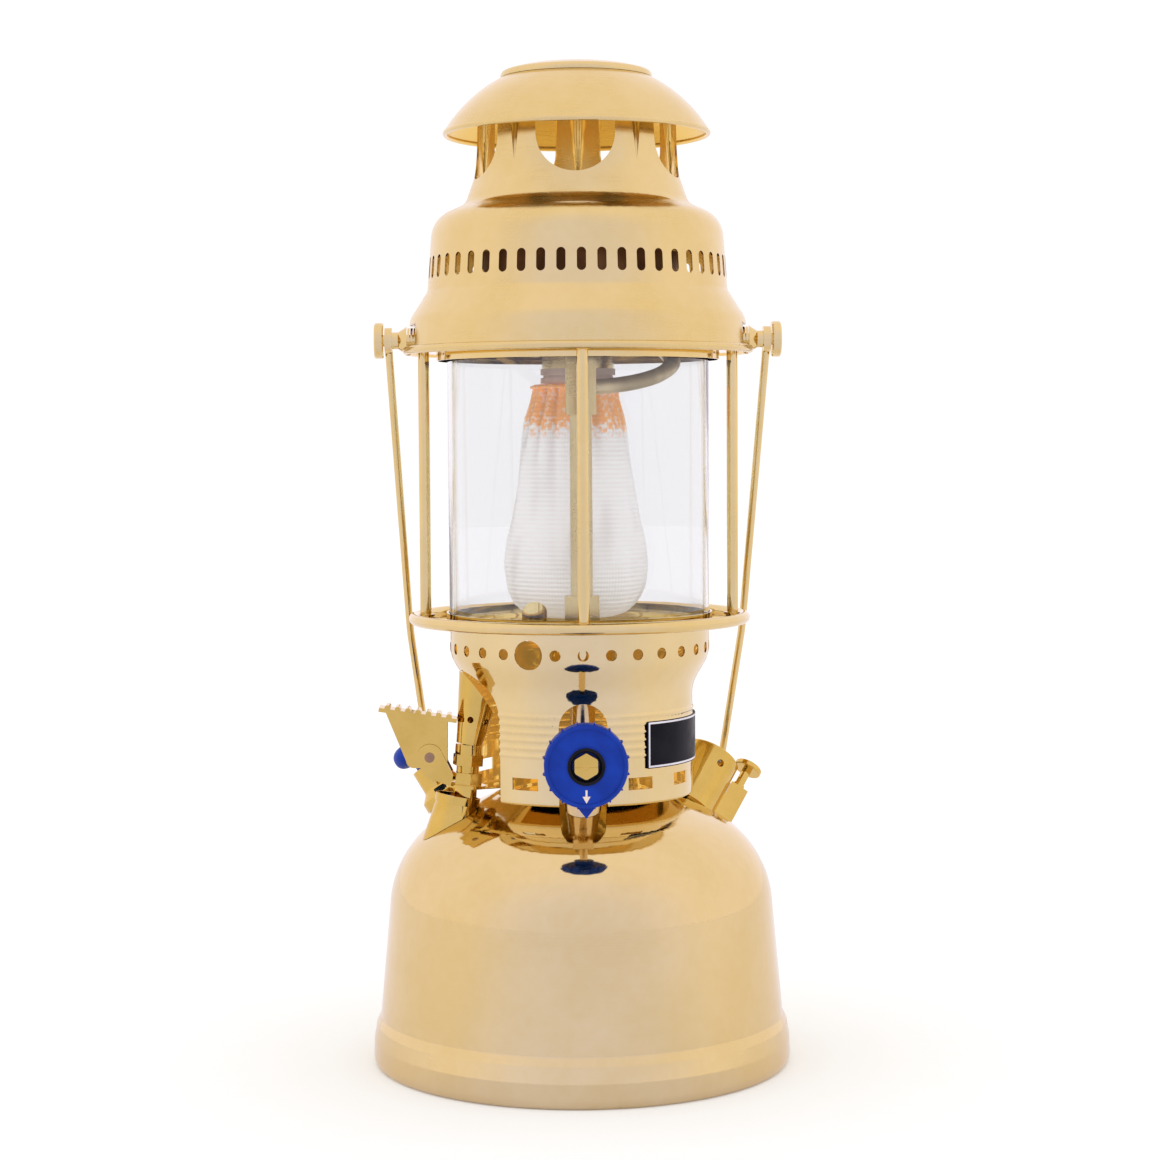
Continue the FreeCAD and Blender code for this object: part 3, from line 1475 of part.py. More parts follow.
def preheater_tube():
    """Blow tube: a widening pipe with air ports and a mouth cut slanting to the inside."""
    high = heater_tube_length
    wall = heater_tube_wall
    mouth = blow_tube_mouth()
    outer = Part.makeCone(heater_tube_radius, mouth, high, V(0, 0, 0), UP)
    inner = Part.makeCone(heater_tube_radius - wall, mouth - wall, high, V(0, 0, 0), UP)
    pipe = outer.cut(inner)
    floor = cylinder(heater_tube_radius - wall / 2.0, 0.0, 1.0)
    pipe = pipe.fuse(floor.cut(cylinder(stem_radius + 2.0 * part_gap, -1.0, 2.0)))
    slant = block(V(-60, -30, 0), V(60, 30, 60))
    slant.rotate(V(0, 0, 0), V(0, 1, 0), -heater_tube_slant)
    slant.translate(V(mouth, 0, high))
    pipe = pipe.cut(slant)
    level = V(0, 0, heater_port_rise)
    for index in range(heater_port_count):
        azimuth = 34.0 + index * 360.0 / heater_port_count
        pipe = pipe.cut(rod(heater_port_radius, level, level + radial(azimuth, 16.0)))
    pipe = placed(pipe, blow_tube_placement())
    collar = placed(cylinder(heater_collar_radius + 2.0, 0.0, heater_tube_start),
                    heater_placement())
    return pipe.cut(collar)


def heater_axis_point(level):
    return heater_placement().multVec(V(0, 0, level))


def lever_pivot():
    base = heater_axis_point(0.0)
    return V(base.x - lever_pivot_out, base.y, base.z + lever_pivot_rise)


def lever_side(y_low, sheet):
    """One fan-shaped cheek of the lever."""
    pivot = lever_pivot()
    slope = math.tan(math.radians(lever_pad_slope))
    left = V(pivot.x - lever_pad_overhang + 2.6, y_low, pivot.z + lever_pad_rise - 2.2)
    right_x = pivot.x - lever_pad_overhang + lever_pad_length - 4.0
    right = V(right_x, y_low, left.z - slope * (right_x - left.x))
    heel = V(pivot.x - 6.4, y_low, pivot.z - 4.4)
    toe = V(pivot.x + 7.0, y_low, pivot.z - 4.4)
    bend = V(pivot.x - 9.4, y_low, pivot.z - 1.6)
    mid = V(pivot.x - 8.4, y_low, pivot.z - 3.6)
    edges = [line(left, bend), Part.Arc(bend, mid, heel).toShape(), line(heel, toe),
             line(toe, right), line(right, left)]
    return Part.Face(Part.Wire(edges)).extrude(V(0, sheet, 0))


def lever_pad():
    """Ribbed thumb pad, built level and then leaned to its slope."""
    plate = block(V(0, 0, 0), V(lever_pad_length, lever_width + 1.6, 1.6))
    ribs = []
    pitch = lever_pad_length / (lever_tooth_count + 0.6)
    for index in range(lever_tooth_count):
        x = pitch * (index + 0.8)
        ribs.append(rod(1.15, V(x, 0.3, 1.9), V(x, lever_width + 1.3, 1.9)))
    pad = joined([plate] + ribs)
    pad.rotate(V(0, 0, 0), V(0, 1, 0), lever_pad_slope)
    return pad


def preheater_lever():
    """Folded thumb lever: two cheeks, a ribbed pad on top and a web between them."""
    pivot = lever_pivot()
    half = lever_width / 2.0
    front = pivot.y - half
    back = pivot.y + half
    cheeks = [lever_side(front, lever_sheet), lever_side(back - lever_sheet, lever_sheet)]
    pad = lever_pad()
    pad.translate(V(pivot.x - lever_pad_overhang, front - 0.8, pivot.z + lever_pad_rise - 2.4))
    web = block(V(pivot.x - 6.0, front, pivot.z - 4.4), V(pivot.x + 2.0, back, pivot.z - 3.5))
    lever = joined(cheeks + [pad, web])
    bore = rod(pin_radius + running_gap, V(pivot.x, front - 5.0, pivot.z),
               V(pivot.x, back + 5.0, pivot.z))
    lever = lever.cut(bore)
    return lever.cut(heater_clearance(part_gap))


def heater_clearance(gap):
    """Room that the lever leaves round the preheater's body, at rest and on its way."""
    room = cylinder(heater_nut_flats / 2.0 / math.cos(math.pi / 6.0) + gap, 3.0, 24.0)
    brim = cylinder(heater_brim_radius + gap, 2.0, 5.0)
    around = placed(joined([room, brim]), heater_placement())
    side = gap / math.cos(math.radians(heater_tube_flare))
    pipe = Part.makeCone(heater_tube_radius + side, blow_tube_mouth() + side,
                         heater_tube_length, V(0, 0, 0), UP)
    return around.fuse(placed(pipe, blow_tube_placement()))


def lever_clevis():
    """Yoke from the preheater's body to the lever's pivot, one arm on each side."""
    pivot = lever_pivot()
    arms = []
    half = lever_width / 2.0 + part_gap
    foot = pivot.z - 9.6
    for y in (pivot.y - half - clevis_sheet, pivot.y + half):
        head = Part.makeCylinder(clevis_radius, clevis_sheet, V(pivot.x, y, pivot.z), V(0, 1, 0))
        points = [V(pivot.x - 4.3, y, pivot.z - 2.6), V(pivot.x + 4.7, y, pivot.z + 2.2),
                  V(pivot.x + 9.4, y, pivot.z - 7.2), V(pivot.x + 8.2, y, pivot.z - 11.6),
                  V(pivot.x - 1.2, y, pivot.z - 8.0), V(pivot.x - 4.3, y, pivot.z - 2.6)]
        arms.append(head.fuse(Part.Face(Part.makePolygon(points)).extrude(V(0, clevis_sheet, 0))))
    saddle = block(V(pivot.x + 0.8, pivot.y - half - clevis_sheet, foot),
                   V(pivot.x + 8.8, pivot.y + half + clevis_sheet, foot + clevis_sheet))
    yoke = joined(arms + [saddle])
    yoke = yoke.cut(rod(pin_radius + running_gap, V(pivot.x, pivot.y - 20.0, pivot.z),
                        V(pivot.x, pivot.y + 20.0, pivot.z)))
    yoke = yoke.cut(preheater_body())
    return yoke.cut(placed(cylinder(cup_radius + seat_gap, -20.0, seat_gap), cup_placement()))


def lever_pin():
    pivot = lever_pivot()
    reach = lever_width / 2.0 + part_gap + clevis_sheet
    shank = rod(pin_radius, V(pivot.x, pivot.y - reach, pivot.z),
                V(pivot.x, pivot.y + reach, pivot.z))
    head = rod(pin_radius + 0.7, V(pivot.x, pivot.y - reach - 0.8, pivot.z),
               V(pivot.x, pivot.y - reach, pivot.z))
    tail = rod(pin_radius + 0.7, V(pivot.x, pivot.y + reach, pivot.z),
               V(pivot.x, pivot.y + reach + 0.8, pivot.z))
    return joined([shank, head, tail])


def preheater_stem():
    """Valve stem inside the preheater's body."""
    return placed(cylinder(stem_radius, 2.0, heater_tube_start + 6.0), heater_placement())


def preheater_dip_tube():
    """Thin pipe from the preheater down into the fuel."""
    foot = radial(heater_azimuth, heater_circle)
    low = tank_bottom_height + tank_bottom_dish + 6.0
    pipe = tube(dip_tube_radius, dip_tube_radius - 0.8, low, tank_height, foot.x, foot.y)
    return pipe.cut(placed(cylinder(60.0, -cup_depth - 1.4, 60.0), cup_placement()))


# ================================================================ build
PIECES = {
    "tank_shell": tank_shell,
    "tank_bottom": tank_bottom,
    "burner_casing": burner_casing,
    "nameplate": nameplate,
    "frame_bottom_ring": frame_bottom_ring,
    "frame_posts": frame_posts,
    "frame_top_ring": frame_top_ring,
    "glass_chimney": glass_chimney,
    "pivot_sleeves": pivot_sleeves,
    "pivot_washers": pivot_washers,
    "bail_screw_left": lambda: bail_screw(-1),
    "bail_screw_right": lambda: bail_screw(1),
    "bail": bail,
    "hood_shell": hood_shell,
    "hood_chimney": hood_chimney,
    "hood_cap": hood_cap,
    "hood_top_disc": hood_top_disc,
    "ceramic_nozzle": ceramic_nozzle,
    "mixing_tube": mixing_tube,
    "mantle": mantle,
    "mantle_tie": mantle_tie,
    "inner_hood": inner_hood,
    "valve_body": valve_body,
    "valve_gland_nut": valve_gland_nut,
    "fuel_pickup_tube": fuel_pickup_tube,
    "generator_nut": generator_nut,
    "generator_tube": generator_tube,
    "generator_head": generator_head,
    "generator_loop": generator_loop,
    "jet_nozzle": jet_nozzle,
    "pricker_rod": pricker_rod,
    "spirit_cup": spirit_cup,
    "burner_floor_plate": burner_floor_plate,
    "control_wheel": control_wheel,
    "wheel_nut": wheel_nut,
    "valve_spindle": valve_spindle,
    "filler_neck": filler_neck,
    "filler_cap_body": filler_cap_body,
    "filler_gasket": filler_gasket,
    "gauge_housing": gauge_housing,
    "gauge_dial": gauge_dial,
    "gauge_needle": gauge_needle,
    "gauge_window": gauge_window,
    "bleed_screw": bleed_screw,
    "pump_barrel": pump_barrel,
    "pump_cap": pump_cap,
    "pump_knob": pump_knob,
    "pump_rod": pump_rod,
    "pump_leather": pump_leather,
    "pump_check_valve": pump_check_valve,
    "preheater_boss": preheater_boss,
    "preheater_body": preheater_body,
    "preheater_tube": preheater_tube,
    "preheater_lever": preheater_lever,
    "lever_clevis": lever_clevis,
    "lever_pin": lever_pin,
    "preheater_stem": preheater_stem,
    "preheater_dip_tube": preheater_dip_tube,
}

os.makedirs("parts", exist_ok=True)
for piece_name, build_piece in PIECES.items():
    export(piece_name, build_piece())
print("pieces", len(PIECES), "handle rest angle", round(bail_rest_angle(), 3))
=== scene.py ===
"""Kerosene pressure lantern: its finishes, its mantle, and the studio it stands in.

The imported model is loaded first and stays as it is. Each sub-assembly is a class that dresses its
own pieces of the model and adds the pieces that only the looks need.
"""
import json
import logging
import math
from dataclasses import dataclass, field
from enum import Enum

import bmesh
import bpy
from mathutils import Matrix, Vector, noise


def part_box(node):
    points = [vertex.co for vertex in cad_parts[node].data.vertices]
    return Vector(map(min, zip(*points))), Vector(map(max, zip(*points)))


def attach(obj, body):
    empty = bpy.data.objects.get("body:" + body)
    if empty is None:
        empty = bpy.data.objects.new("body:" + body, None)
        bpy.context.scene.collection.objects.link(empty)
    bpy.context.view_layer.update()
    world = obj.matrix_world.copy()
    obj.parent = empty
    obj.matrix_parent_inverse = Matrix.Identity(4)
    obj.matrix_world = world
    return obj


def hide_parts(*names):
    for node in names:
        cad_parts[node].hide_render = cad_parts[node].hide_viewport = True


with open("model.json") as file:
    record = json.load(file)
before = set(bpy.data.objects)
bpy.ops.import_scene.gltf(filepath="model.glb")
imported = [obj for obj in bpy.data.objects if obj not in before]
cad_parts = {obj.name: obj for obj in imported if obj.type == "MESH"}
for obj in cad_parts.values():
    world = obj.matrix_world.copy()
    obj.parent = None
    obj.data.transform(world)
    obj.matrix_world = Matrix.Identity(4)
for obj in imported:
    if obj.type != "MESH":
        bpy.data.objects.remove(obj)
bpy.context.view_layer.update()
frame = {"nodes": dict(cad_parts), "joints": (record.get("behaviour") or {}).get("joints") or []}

logging.basicConfig(level=logging.INFO, format="%(message)s")
LOG = logging.getLogger("lantern")

MM = 0.001
WELD_REACH = 0.002 * MM
NORMAL_WEIGHT = 60
BLACK = (0.0, 0.0, 0.0)
WHITE = (1.0, 1.0, 1.0)
Colour = tuple[float, float, float]
Point = tuple[float, float, float]
Range = tuple[float, float]


class Body(Enum):
    """Moving bodies that pieces of this script ride on."""

    LANTERN = "lantern"
    CONTROL = "control"
    FILLER = "filler_cap"


class Slot(Enum):
    """Names of material slots in the record."""

    PLATE = "plate_black"
    MANTLE = "mantle_fabric"
    DIAL = "dial_white"


# ------------------------------------------------------------------ node graph helpers
class Graph:
    """Short way to lay down shader nodes in a material or a node group."""

    def __init__(self, tree: bpy.types.NodeTree) -> None:
        """Starts with an empty tree.

        Args:
            tree: node tree of a material or a group.
        """
        self.tree = tree
        tree.nodes.clear()

    def node(self, kind: str, **values: object) -> bpy.types.Node:
        """Adds one node.

        Args:
            kind: node type without the "ShaderNode" prefix.
            values: node properties by name.

        Returns:
            The new node.
        """
        new = self.tree.nodes.new("ShaderNode" + kind)
        for name, value in values.items():
            setattr(new, name, value)
        return new

    def link(self, source: bpy.types.NodeSocket, target: bpy.types.NodeSocket) -> None:
        """Joins two sockets."""
        self.tree.links.new(source, target)

    def feed(self, target: bpy.types.NodeSocket, value: object) -> None:
        """Sets a socket to a number or colour, or links a socket to it.

        Args:
            target: input socket.
            value: another socket, a number, or a colour of three parts.
        """
        if isinstance(value, bpy.types.NodeSocket):
            self.link(value, target)
        elif isinstance(value, tuple) and target.type == "RGBA":
            target.default_value = (*value, 1.0)
        else:
            target.default_value = value

    def fill(self, target: bpy.types.Node, **values: object) -> None:
        """Sets or links a node's inputs by name, with spaces written as underscores.

        Args:
            target: node whose inputs are meant.
            values: what each input gets.
        """
        for name, value in values.items():
            self.feed(target.inputs[name.replace("_", " ")], value)

    def place(self) -> bpy.types.NodeSocket:
        """Returns the piece's own coordinates."""
        return self.node("TexCoord").outputs["Object"]

    def split(self, vector: bpy.types.NodeSocket) -> bpy.types.NodeOutputs:
        """Splits a vector.

        Args:
            vector: socket that gives it.

        Returns:
            Its sockets X, Y and Z.
        """
        step = self.node("SeparateXYZ")
        self.link(vector, step.inputs[0])
        return step.outputs

    def vector(self, operation: str, first: object, second: object = (0.0, 0.0, 0.0)
               ) -> bpy.types.Node:
        """Adds a Vector Math node.

        Args:
            operation: what it does.
            first: first vector or its socket.
            second: second one, where the operation takes two.

        Returns:
            The node, whose result is a vector or a value.
        """
        step = self.node("VectorMath", operation=operation)
        self.feed(step.inputs[0], first)
        self.feed(step.inputs[1], second)
        return step

    def math(self, operation: str, first: object, second: object = 0.0) -> bpy.types.NodeSocket:
        """Adds a Math node.

        Args:
            operation: what it does.
            first: first number or its socket.
            second: second one, where the operation takes two.

        Returns:
            Its result.
        """
        step = self.node("Math", operation=operation)
        self.feed(step.inputs[0], first)
        self.feed(step.inputs[1], second)
        return step.outputs[0]

    def ramp(self, value: object, low: float, high: float, start: float = 0.0,
             end: float = 1.0) -> bpy.types.NodeSocket:
        """Maps a range of values smoothly to another.

        Args:
            value: socket to map.
            low: value that gives start.
            high: value that gives end.
            start: result at low.
            end: result at high.

        Returns:
            The mapped value.
        """
        step = self.node("MapRange", interpolation_type="SMOOTHSTEP")
        for socket, number in zip(step.inputs[:5], (value, low, high, start, end)):
            self.feed(socket, number)
        return step.outputs[0]

    def mix(self, factor: object, first: object, second: object,
            blend: str = "MIX") -> bpy.types.NodeSocket:
        """Mixes two colours.

        Args:
            factor: share of the second colour.
            first: first colour or its socket.
            second: second colour or its socket.
            blend: way of mixing.

        Returns:
            The mixed colour.
        """
        step = self.node("Mix", data_type="RGBA", blend_type=blend)
        self.feed(step.inputs["Factor"], factor)
        self.feed(step.inputs[6], first)
        self.feed(step.inputs[7], second)
        return step.outputs[2]

    def group(self, tree: bpy.types.NodeTree, **values: object) -> bpy.types.NodeSocket:
        """Places a node group.

        Args:
            tree: the group's tree.
            values: its inputs by name, with spaces written as underscores.

        Returns:
            The group's first output.
        """
        placed = self.node("Group", node_tree=tree)
        self.fill(placed, **values)
        return placed.outputs[0]

    def emboss(self, shader: bpy.types.Node, height: bpy.types.NodeSocket, strength: float,
               depth: float) -> None:
        """Gives a shader its relief.

        Args:
            shader: shader whose normal is bent.
            height: height over the surface, from 0 to 1.
            strength: how strongly the height counts.
            depth: depth that a height of 1 stands for.
        """
        bump = self.node("Bump")
        self.fill(bump, Strength=strength, Distance=depth, Height=height)
        self.link(bump.outputs[0], shader.inputs["Normal"])


class Effects:
    """Node groups that several finishes share. Each is built once, when it is first asked for."""

    cloud_edges: Range = (0.32, 0.68)
    speck_edges: Range = (0.72, 0.98)
    ring_sway: float = 100.0
    _built: dict[str, bpy.types.NodeTree] = {}

    @classmethod
    def _start(cls, name: str, inputs: dict[str, float], outputs: dict[str, str]
               ) -> tuple[bpy.types.NodeTree, Graph, bpy.types.Node, bpy.types.Node]:
        """Makes an empty group with its sockets.

        Args:
            name: name of the group.
            inputs: number inputs with their defaults.
            outputs: outputs with their socket types.

        Returns:
            The tree, its graph, its input node and its output node.
        """
        tree = bpy.data.node_groups.new(name, "ShaderNodeTree")
        for label, default in inputs.items():
            socket = tree.interface.new_socket(label, in_out="INPUT", socket_type="NodeSocketFloat")
            socket.default_value = default
        for label, kind in outputs.items():
            tree.interface.new_socket(label, in_out="OUTPUT", socket_type=kind)
        graph = Graph(tree)
        entry = tree.nodes.new("NodeGroupInput")
        leave = tree.nodes.new("NodeGroupOutput")
        cls._built[name] = tree
        return tree, graph, entry, leave

    @classmethod
    def mottle(cls) -> bpy.types.NodeTree:
        """Soft cloudy variation, as lacquer and handling leave on metal.

        Returns:
            Group with inputs Scale and Detail, and output Mask from 0 to 1.
        """
        if "mottle" in cls._built:
            return cls._built["mottle"]
        tree, graph, entry, leave = cls._start(
            "mottle", {"Scale": 30.0, "Detail": 4.0}, {"Mask": "NodeSocketFloat"})
        cloud = graph.node("TexNoise")
        graph.fill(cloud, Vector=graph.place(), Scale=entry.outputs["Scale"],
                   Detail=entry.outputs["Detail"])
        graph.fill(leave, Mask=graph.ramp(cloud.outputs["Fac"], *cls.cloud_edges))
        return tree

    @classmethod
    def turning(cls) -> bpy.types.NodeTree:
        """Fine rings that spinning and buffing leave round an upright axis.

        Returns:
            Group with inputs Pitch and Wander, and output Height from 0 to 1.
        """
        if "turning" in cls._built:
            return cls._built["turning"]
        tree, graph, entry, leave = cls._start(
            "turning", {"Pitch": 900.0, "Wander": 0.4}, {"Height": "NodeSocketFloat"})
        parts = graph.split(graph.place())
        pitch = entry.outputs["Pitch"]
        flat = graph.node("CombineXYZ")
        graph.fill(flat, X=parts["X"], Y=parts["Y"])
        reach = graph.vector("LENGTH", flat.outputs[0]).outputs["Value"]
        sway = graph.math("MULTIPLY", entry.outputs["Wander"], cls.ring_sway)
        line = graph.node("CombineXYZ")
        graph.fill(line, X=graph.math("MULTIPLY", parts["Z"], pitch),
                   Y=graph.math("MULTIPLY", reach, pitch),
                   Z=graph.math("MULTIPLY", parts["X"], sway))
        rings = graph.node("TexNoise")
        graph.fill(rings, Vector=line.outputs[0], Scale=1.0, Detail=3.0)
        graph.fill(leave, Height=rings.outputs["Fac"])
        return tree

    @classmethod
    def specks(cls) -> bpy.types.NodeTree:
        """Scattered small marks, as pores, dust or pits.

        Returns:
            Group with inputs Scale and Amount, and output Mask from 0 to 1.
        """
        if "specks" in cls._built:
            return cls._built["specks"]
        tree, graph, entry, leave = cls._start(
            "specks", {"Scale": 400.0, "Amount": 0.3}, {"Mask": "NodeSocketFloat"})
        cells = graph.node("TexVoronoi", feature="F1")
        graph.fill(cells, Vector=graph.place(), Scale=entry.outputs["Scale"])
        near = graph.math("SUBTRACT", 1.0, cells.outputs["Distance"])
        shown = graph.ramp(near, *cls.speck_edges)
        graph.fill(leave, Mask=graph.math("MULTIPLY", shown, entry.outputs["Amount"]))
        return tree


# ------------------------------------------------------------------ finishes
@dataclass(frozen=True)
class Finish:
    """A finish that makes its own material once."""

    name: str

    def material(self) -> bpy.types.Material:
        """Returns the finish's material, which is made on the first call."""
        known = bpy.data.materials.get(self.name)
        if known is not None:
            return known
        made = bpy.data.materials.new(self.name)
        made.use_nodes = True
        graph = Graph(made.node_tree)
        out = graph.node("OutputMaterial")
        shader = graph.node("BsdfPrincipled")
        graph.link(shader.outputs[0], out.inputs["Surface"])
        self.lay(graph, shader)
        return made

    def lay(self, graph: Graph, shader: bpy.types.Node) -> None:
        """Lays the finish's nodes in front of the shader."""
        raise NotImplementedError


@dataclass(frozen=True)
class Brass(Finish):
    """Polished, lacquered brass with faint clouding and buffing rings.

    The sides that face the lantern's axis can take a deeper colour and a faint glow, both painted
    reflection that stands for the many reflections between them.
    """

    pale: Colour = (0.770, 0.600, 0.275)
    deep: Colour = (0.705, 0.520, 0.180)
    smooth: float = 0.04
    dull: float = 0.10
    wear: Range = (0.05, 0.6)
    cloud_scale: float = 26.0
    cloud_share: float = 0.45
    fine_times: float = 9.0
    fine_share: float = 0.15
    ring_pitch: float = 900.0
    ring_height: float = 0.02
    ring_depth: float = 0.2 * MM
    # share, facing range, colour and glow of the painted reflection on the sides facing the axis
    painted_reflection_share: float = 0.0
    inward: Range = (-0.15, -0.4)
    painted_lining: Colour = (0.84, 0.58, 0.15)
    painted_reflection_glow: float = 0.0
    coat: float = 0.15
    coat_rough: float = 0.06

    def painted_reflection_mask(self, graph: Graph) -> bpy.types.NodeSocket:
        """Finds the sides that face the lantern's axis, which take the painted reflection.

        Args:
            graph: graph of the material.

        Returns:
            Mask from 0 to 1, already scaled by the share of painted reflection.
        """
        flat = graph.vector("MULTIPLY", graph.place(), (1.0, 1.0, 0.0))
        outward = graph.vector("NORMALIZE", flat.outputs[0])
        surface = graph.node("NewGeometry")
        facing = graph.vector("DOT_PRODUCT", outward.outputs[0], surface.outputs["Normal"])
        return graph.ramp(facing.outputs["Value"], *self.inward, 0.0, self.painted_reflection_share)

    def lay(self, graph: Graph, shader: bpy.types.Node) -> None:
        """Lays the brass.

        Args:
            graph: graph of the material.
            shader: its Principled BSDF.
        """
        clouds = graph.group(Effects.mottle(), Scale=self.cloud_scale, Detail=5.0)
        fine = graph.group(Effects.mottle(), Scale=self.cloud_scale * self.fine_times, Detail=3.0)
        rings = graph.group(Effects.turning(), Pitch=self.ring_pitch, Wander=0.3)
        blend = graph.math("ADD", graph.math("MULTIPLY", clouds, self.cloud_share),
                           graph.math("MULTIPLY", fine, self.fine_share))
        colour = graph.mix(blend, self.pale, self.deep)
        # painted reflection: a deeper gold colour and a faint gold glow on the sides facing the
        # axis
        if self.painted_reflection_share:
            inner = self.painted_reflection_mask(graph)
            colour = graph.mix(inner, colour, self.painted_lining)
            graph.fill(shader, Emission_Color=graph.mix(inner, BLACK, self.painted_lining),
                       Emission_Strength=self.painted_reflection_glow)
        worn = graph.ramp(graph.math("MULTIPLY", clouds, rings), *self.wear, self.smooth, self.dull)
        graph.fill(shader, Base_Color=colour, Roughness=worn, Metallic=1.0, Coat_Weight=self.coat,
                   Coat_Roughness=self.coat_rough)
        graph.emboss(shader, rings, self.ring_height, self.ring_depth)


@dataclass(frozen=True)
class Glass(Finish):
    """Thin clear glass with a trace of drawing waves."""

    tint: Colour = (0.918, 0.916, 0.928)
    ior: float = 1.47
    haze: float = 0.02
    wave: float = 0.03
    wave_scale: float = 14.0
    wave_depth: float = 1.0 * MM

    def lay(self, graph: Graph, shader: bpy.types.Node) -> None:
        """Lays the glass, which lets shadow rays pass.

        Args:
            graph: graph of the material.
            shader: its Principled BSDF.
        """
        clouds = graph.group(Effects.mottle(), Scale=self.wave_scale, Detail=2.0)
        graph.fill(shader, Base_Color=self.tint, Transmission_Weight=1.0, IOR=self.ior,
                   Roughness=graph.ramp(clouds, 0.0, 1.0, 0.0, self.haze))
        graph.emboss(shader, clouds, self.wave, self.wave_depth)
        out = next(node for node in graph.tree.nodes if node.type == "OUTPUT_MATERIAL")
        ray = graph.node("LightPath")
        clear = graph.node("BsdfTransparent")
        both = graph.node("MixShader")
        graph.link(ray.outputs["Is Shadow Ray"], both.inputs[0])
        graph.link(shader.outputs[0], both.inputs[1])
        graph.link(clear.outputs[0], both.inputs[2])
        graph.link(both.outputs[0], out.inputs["Surface"])


@dataclass(frozen=True)
class Plain(Finish):
    """A non-metal or dull metal finish with clouds, specks and a fine grain."""

    light: Colour = (0.5, 0.5, 0.5)
    dark: Colour = (0.3, 0.3, 0.3)
    metallic: float = 0.0
    smooth: float = 0.3
    dull: float = 0.5
    cloud_scale: float = 40.0
    cloud_rise: float = 0.5
    speck_scale: float = 500.0
    speck_amount: float = 0.2
    speck_colour: Colour = (0.1, 0.1, 0.1)
    grain: float = 0.1
    grain_depth: float = 0.2 * MM
    gloss: float = 0.5

    def lay(self, graph: Graph, shader: bpy.types.Node) -> None:
        """Lays the finish.

        Args:
            graph: graph of the material.
            shader: its Principled BSDF.
        """
        clouds = graph.group(Effects.mottle(), Scale=self.cloud_scale, Detail=6.0)
        marks = graph.group(Effects.specks(), Scale=self.speck_scale, Amount=self.speck_amount)
        tone = graph.mix(clouds, self.light, self.dark)
        graph.fill(shader, Base_Color=graph.mix(marks, tone, self.speck_colour),
                   Roughness=graph.ramp(clouds, 0.0, 1.0, self.smooth, self.dull),
                   Metallic=self.metallic, Specular_IOR_Level=self.gloss)
        height = graph.math("ADD", marks, graph.math("MULTIPLY", clouds, self.cloud_rise))
        graph.emboss(shader, height, self.grain, self.grain_depth)


@dataclass(frozen=True)
class Knit(Finish):
    """Knitted mantle cloth: white, with a dyed and scorched band round its neck, painted fold shade
    and glow.
    """

    white: Colour = (0.97, 0.955, 0.945)
    shade: Colour = (0.87, 0.85, 0.83)
    dye: Colour = (0.95, 0.44, 0.13)
    # colour that the folds are multiplied by, as painted shade
    fold_shade: Colour = (0.56, 0.50, 0.47)
    dye_band: Range = (253.0 * MM, 260.0 * MM)
    ragged: float = 4.2 * MM
    ragged_fine: float = 1.2
    ragged_middle: float = 4.0 * MM
    spots: Range = (0.55, 0.9)
    spot_share: float = 0.35
    wale_pitch: float = 1.1 * MM
    wale_share: float = 0.45
    course_pitch: float = 1.8 * MM
    stitch_span: float = 1.4
    stitch_share: float = 0.85
    cloud_share: float = 0.25
    relief: float = 0.5
    relief_depth: float = 0.3 * MM
    rough: float = 0.85
    sheen: float = 0.35
    sheen_rough: float = 0.5
    # strength of the cloth's faint painted glow
    painted_glow: float = 0.3

    def dyed(self, graph: Graph, clouds: bpy.types.NodeSocket,
             fine: bpy.types.NodeSocket) -> bpy.types.NodeSocket:
        """Finds the dyed band with its ragged edge and its pale spots.

        Args:
            graph: graph of the material.
            clouds: mask of the broad clouds.
            fine: mask of the fine clouds.

        Returns:
            Mask from 0 to 1.
        """
        above = graph.split(graph.place())["Z"]
        ragged = graph.math("ADD", clouds, graph.math("MULTIPLY", fine, self.ragged_fine))
        ragged = graph.math("MULTIPLY", ragged, self.ragged)
        height = graph.math("SUBTRACT", above, graph.math("SUBTRACT", ragged, self.ragged_middle))
        pale = graph.math("MULTIPLY", graph.ramp(fine, *self.spots), self.spot_share)
        return graph.math("MULTIPLY", graph.ramp(height, *self.dye_band),
                          graph.math("SUBTRACT", 1.0, pale))

    def lay(self, graph: Graph, shader: bpy.types.Node) -> None:
        """Lays the cloth. The stitches follow the piece's own map: u round it and v down it.

        Args:
            graph: graph of the material.
            shader: its Principled BSDF.
        """
        clouds = graph.group(Effects.mottle(), Scale=45.0, Detail=6.0)
        fine = graph.group(Effects.mottle(), Scale=520.0, Detail=3.0)
        across = graph.split(graph.node("UVMap", uv_map="cloth").outputs[0])
        wale = graph.math("SINE", graph.math("MULTIPLY", across["X"], math.tau / self.wale_pitch))
        course = graph.math("SINE", graph.math(
            "MULTIPLY", across["Y"], math.tau / self.course_pitch))
        stitch = graph.math("ADD", graph.math("MULTIPLY", wale, self.wale_share), course)
        stitch = graph.ramp(stitch, -self.stitch_span, self.stitch_span)
        tone = graph.mix(graph.math("MULTIPLY", stitch, self.stitch_share), self.shade, self.white)
        tone = graph.mix(graph.math("MULTIPLY", clouds, self.cloud_share), tone, self.shade)
        tone = graph.mix(self.dyed(graph, clouds, fine), tone, self.dye)
        # painted shade: the cloth is darkened where a point lies in a pleat valley or a slack
        # crease
        fold = graph.node("Attribute", attribute_name="fold")
        cloth = graph.mix(fold.outputs["Fac"], tone, self.fold_shade, "MULTIPLY")
        # the cloth also glows faintly in its own colour, as painted light
        graph.fill(shader, Base_Color=cloth, Emission_Color=cloth, Emission_Strength=self.painted_glow,
                   Roughness=self.rough, Sheen_Weight=self.sheen, Sheen_Roughness=self.sheen_rough)
        graph.emboss(shader, stitch, self.relief, self.relief_depth)


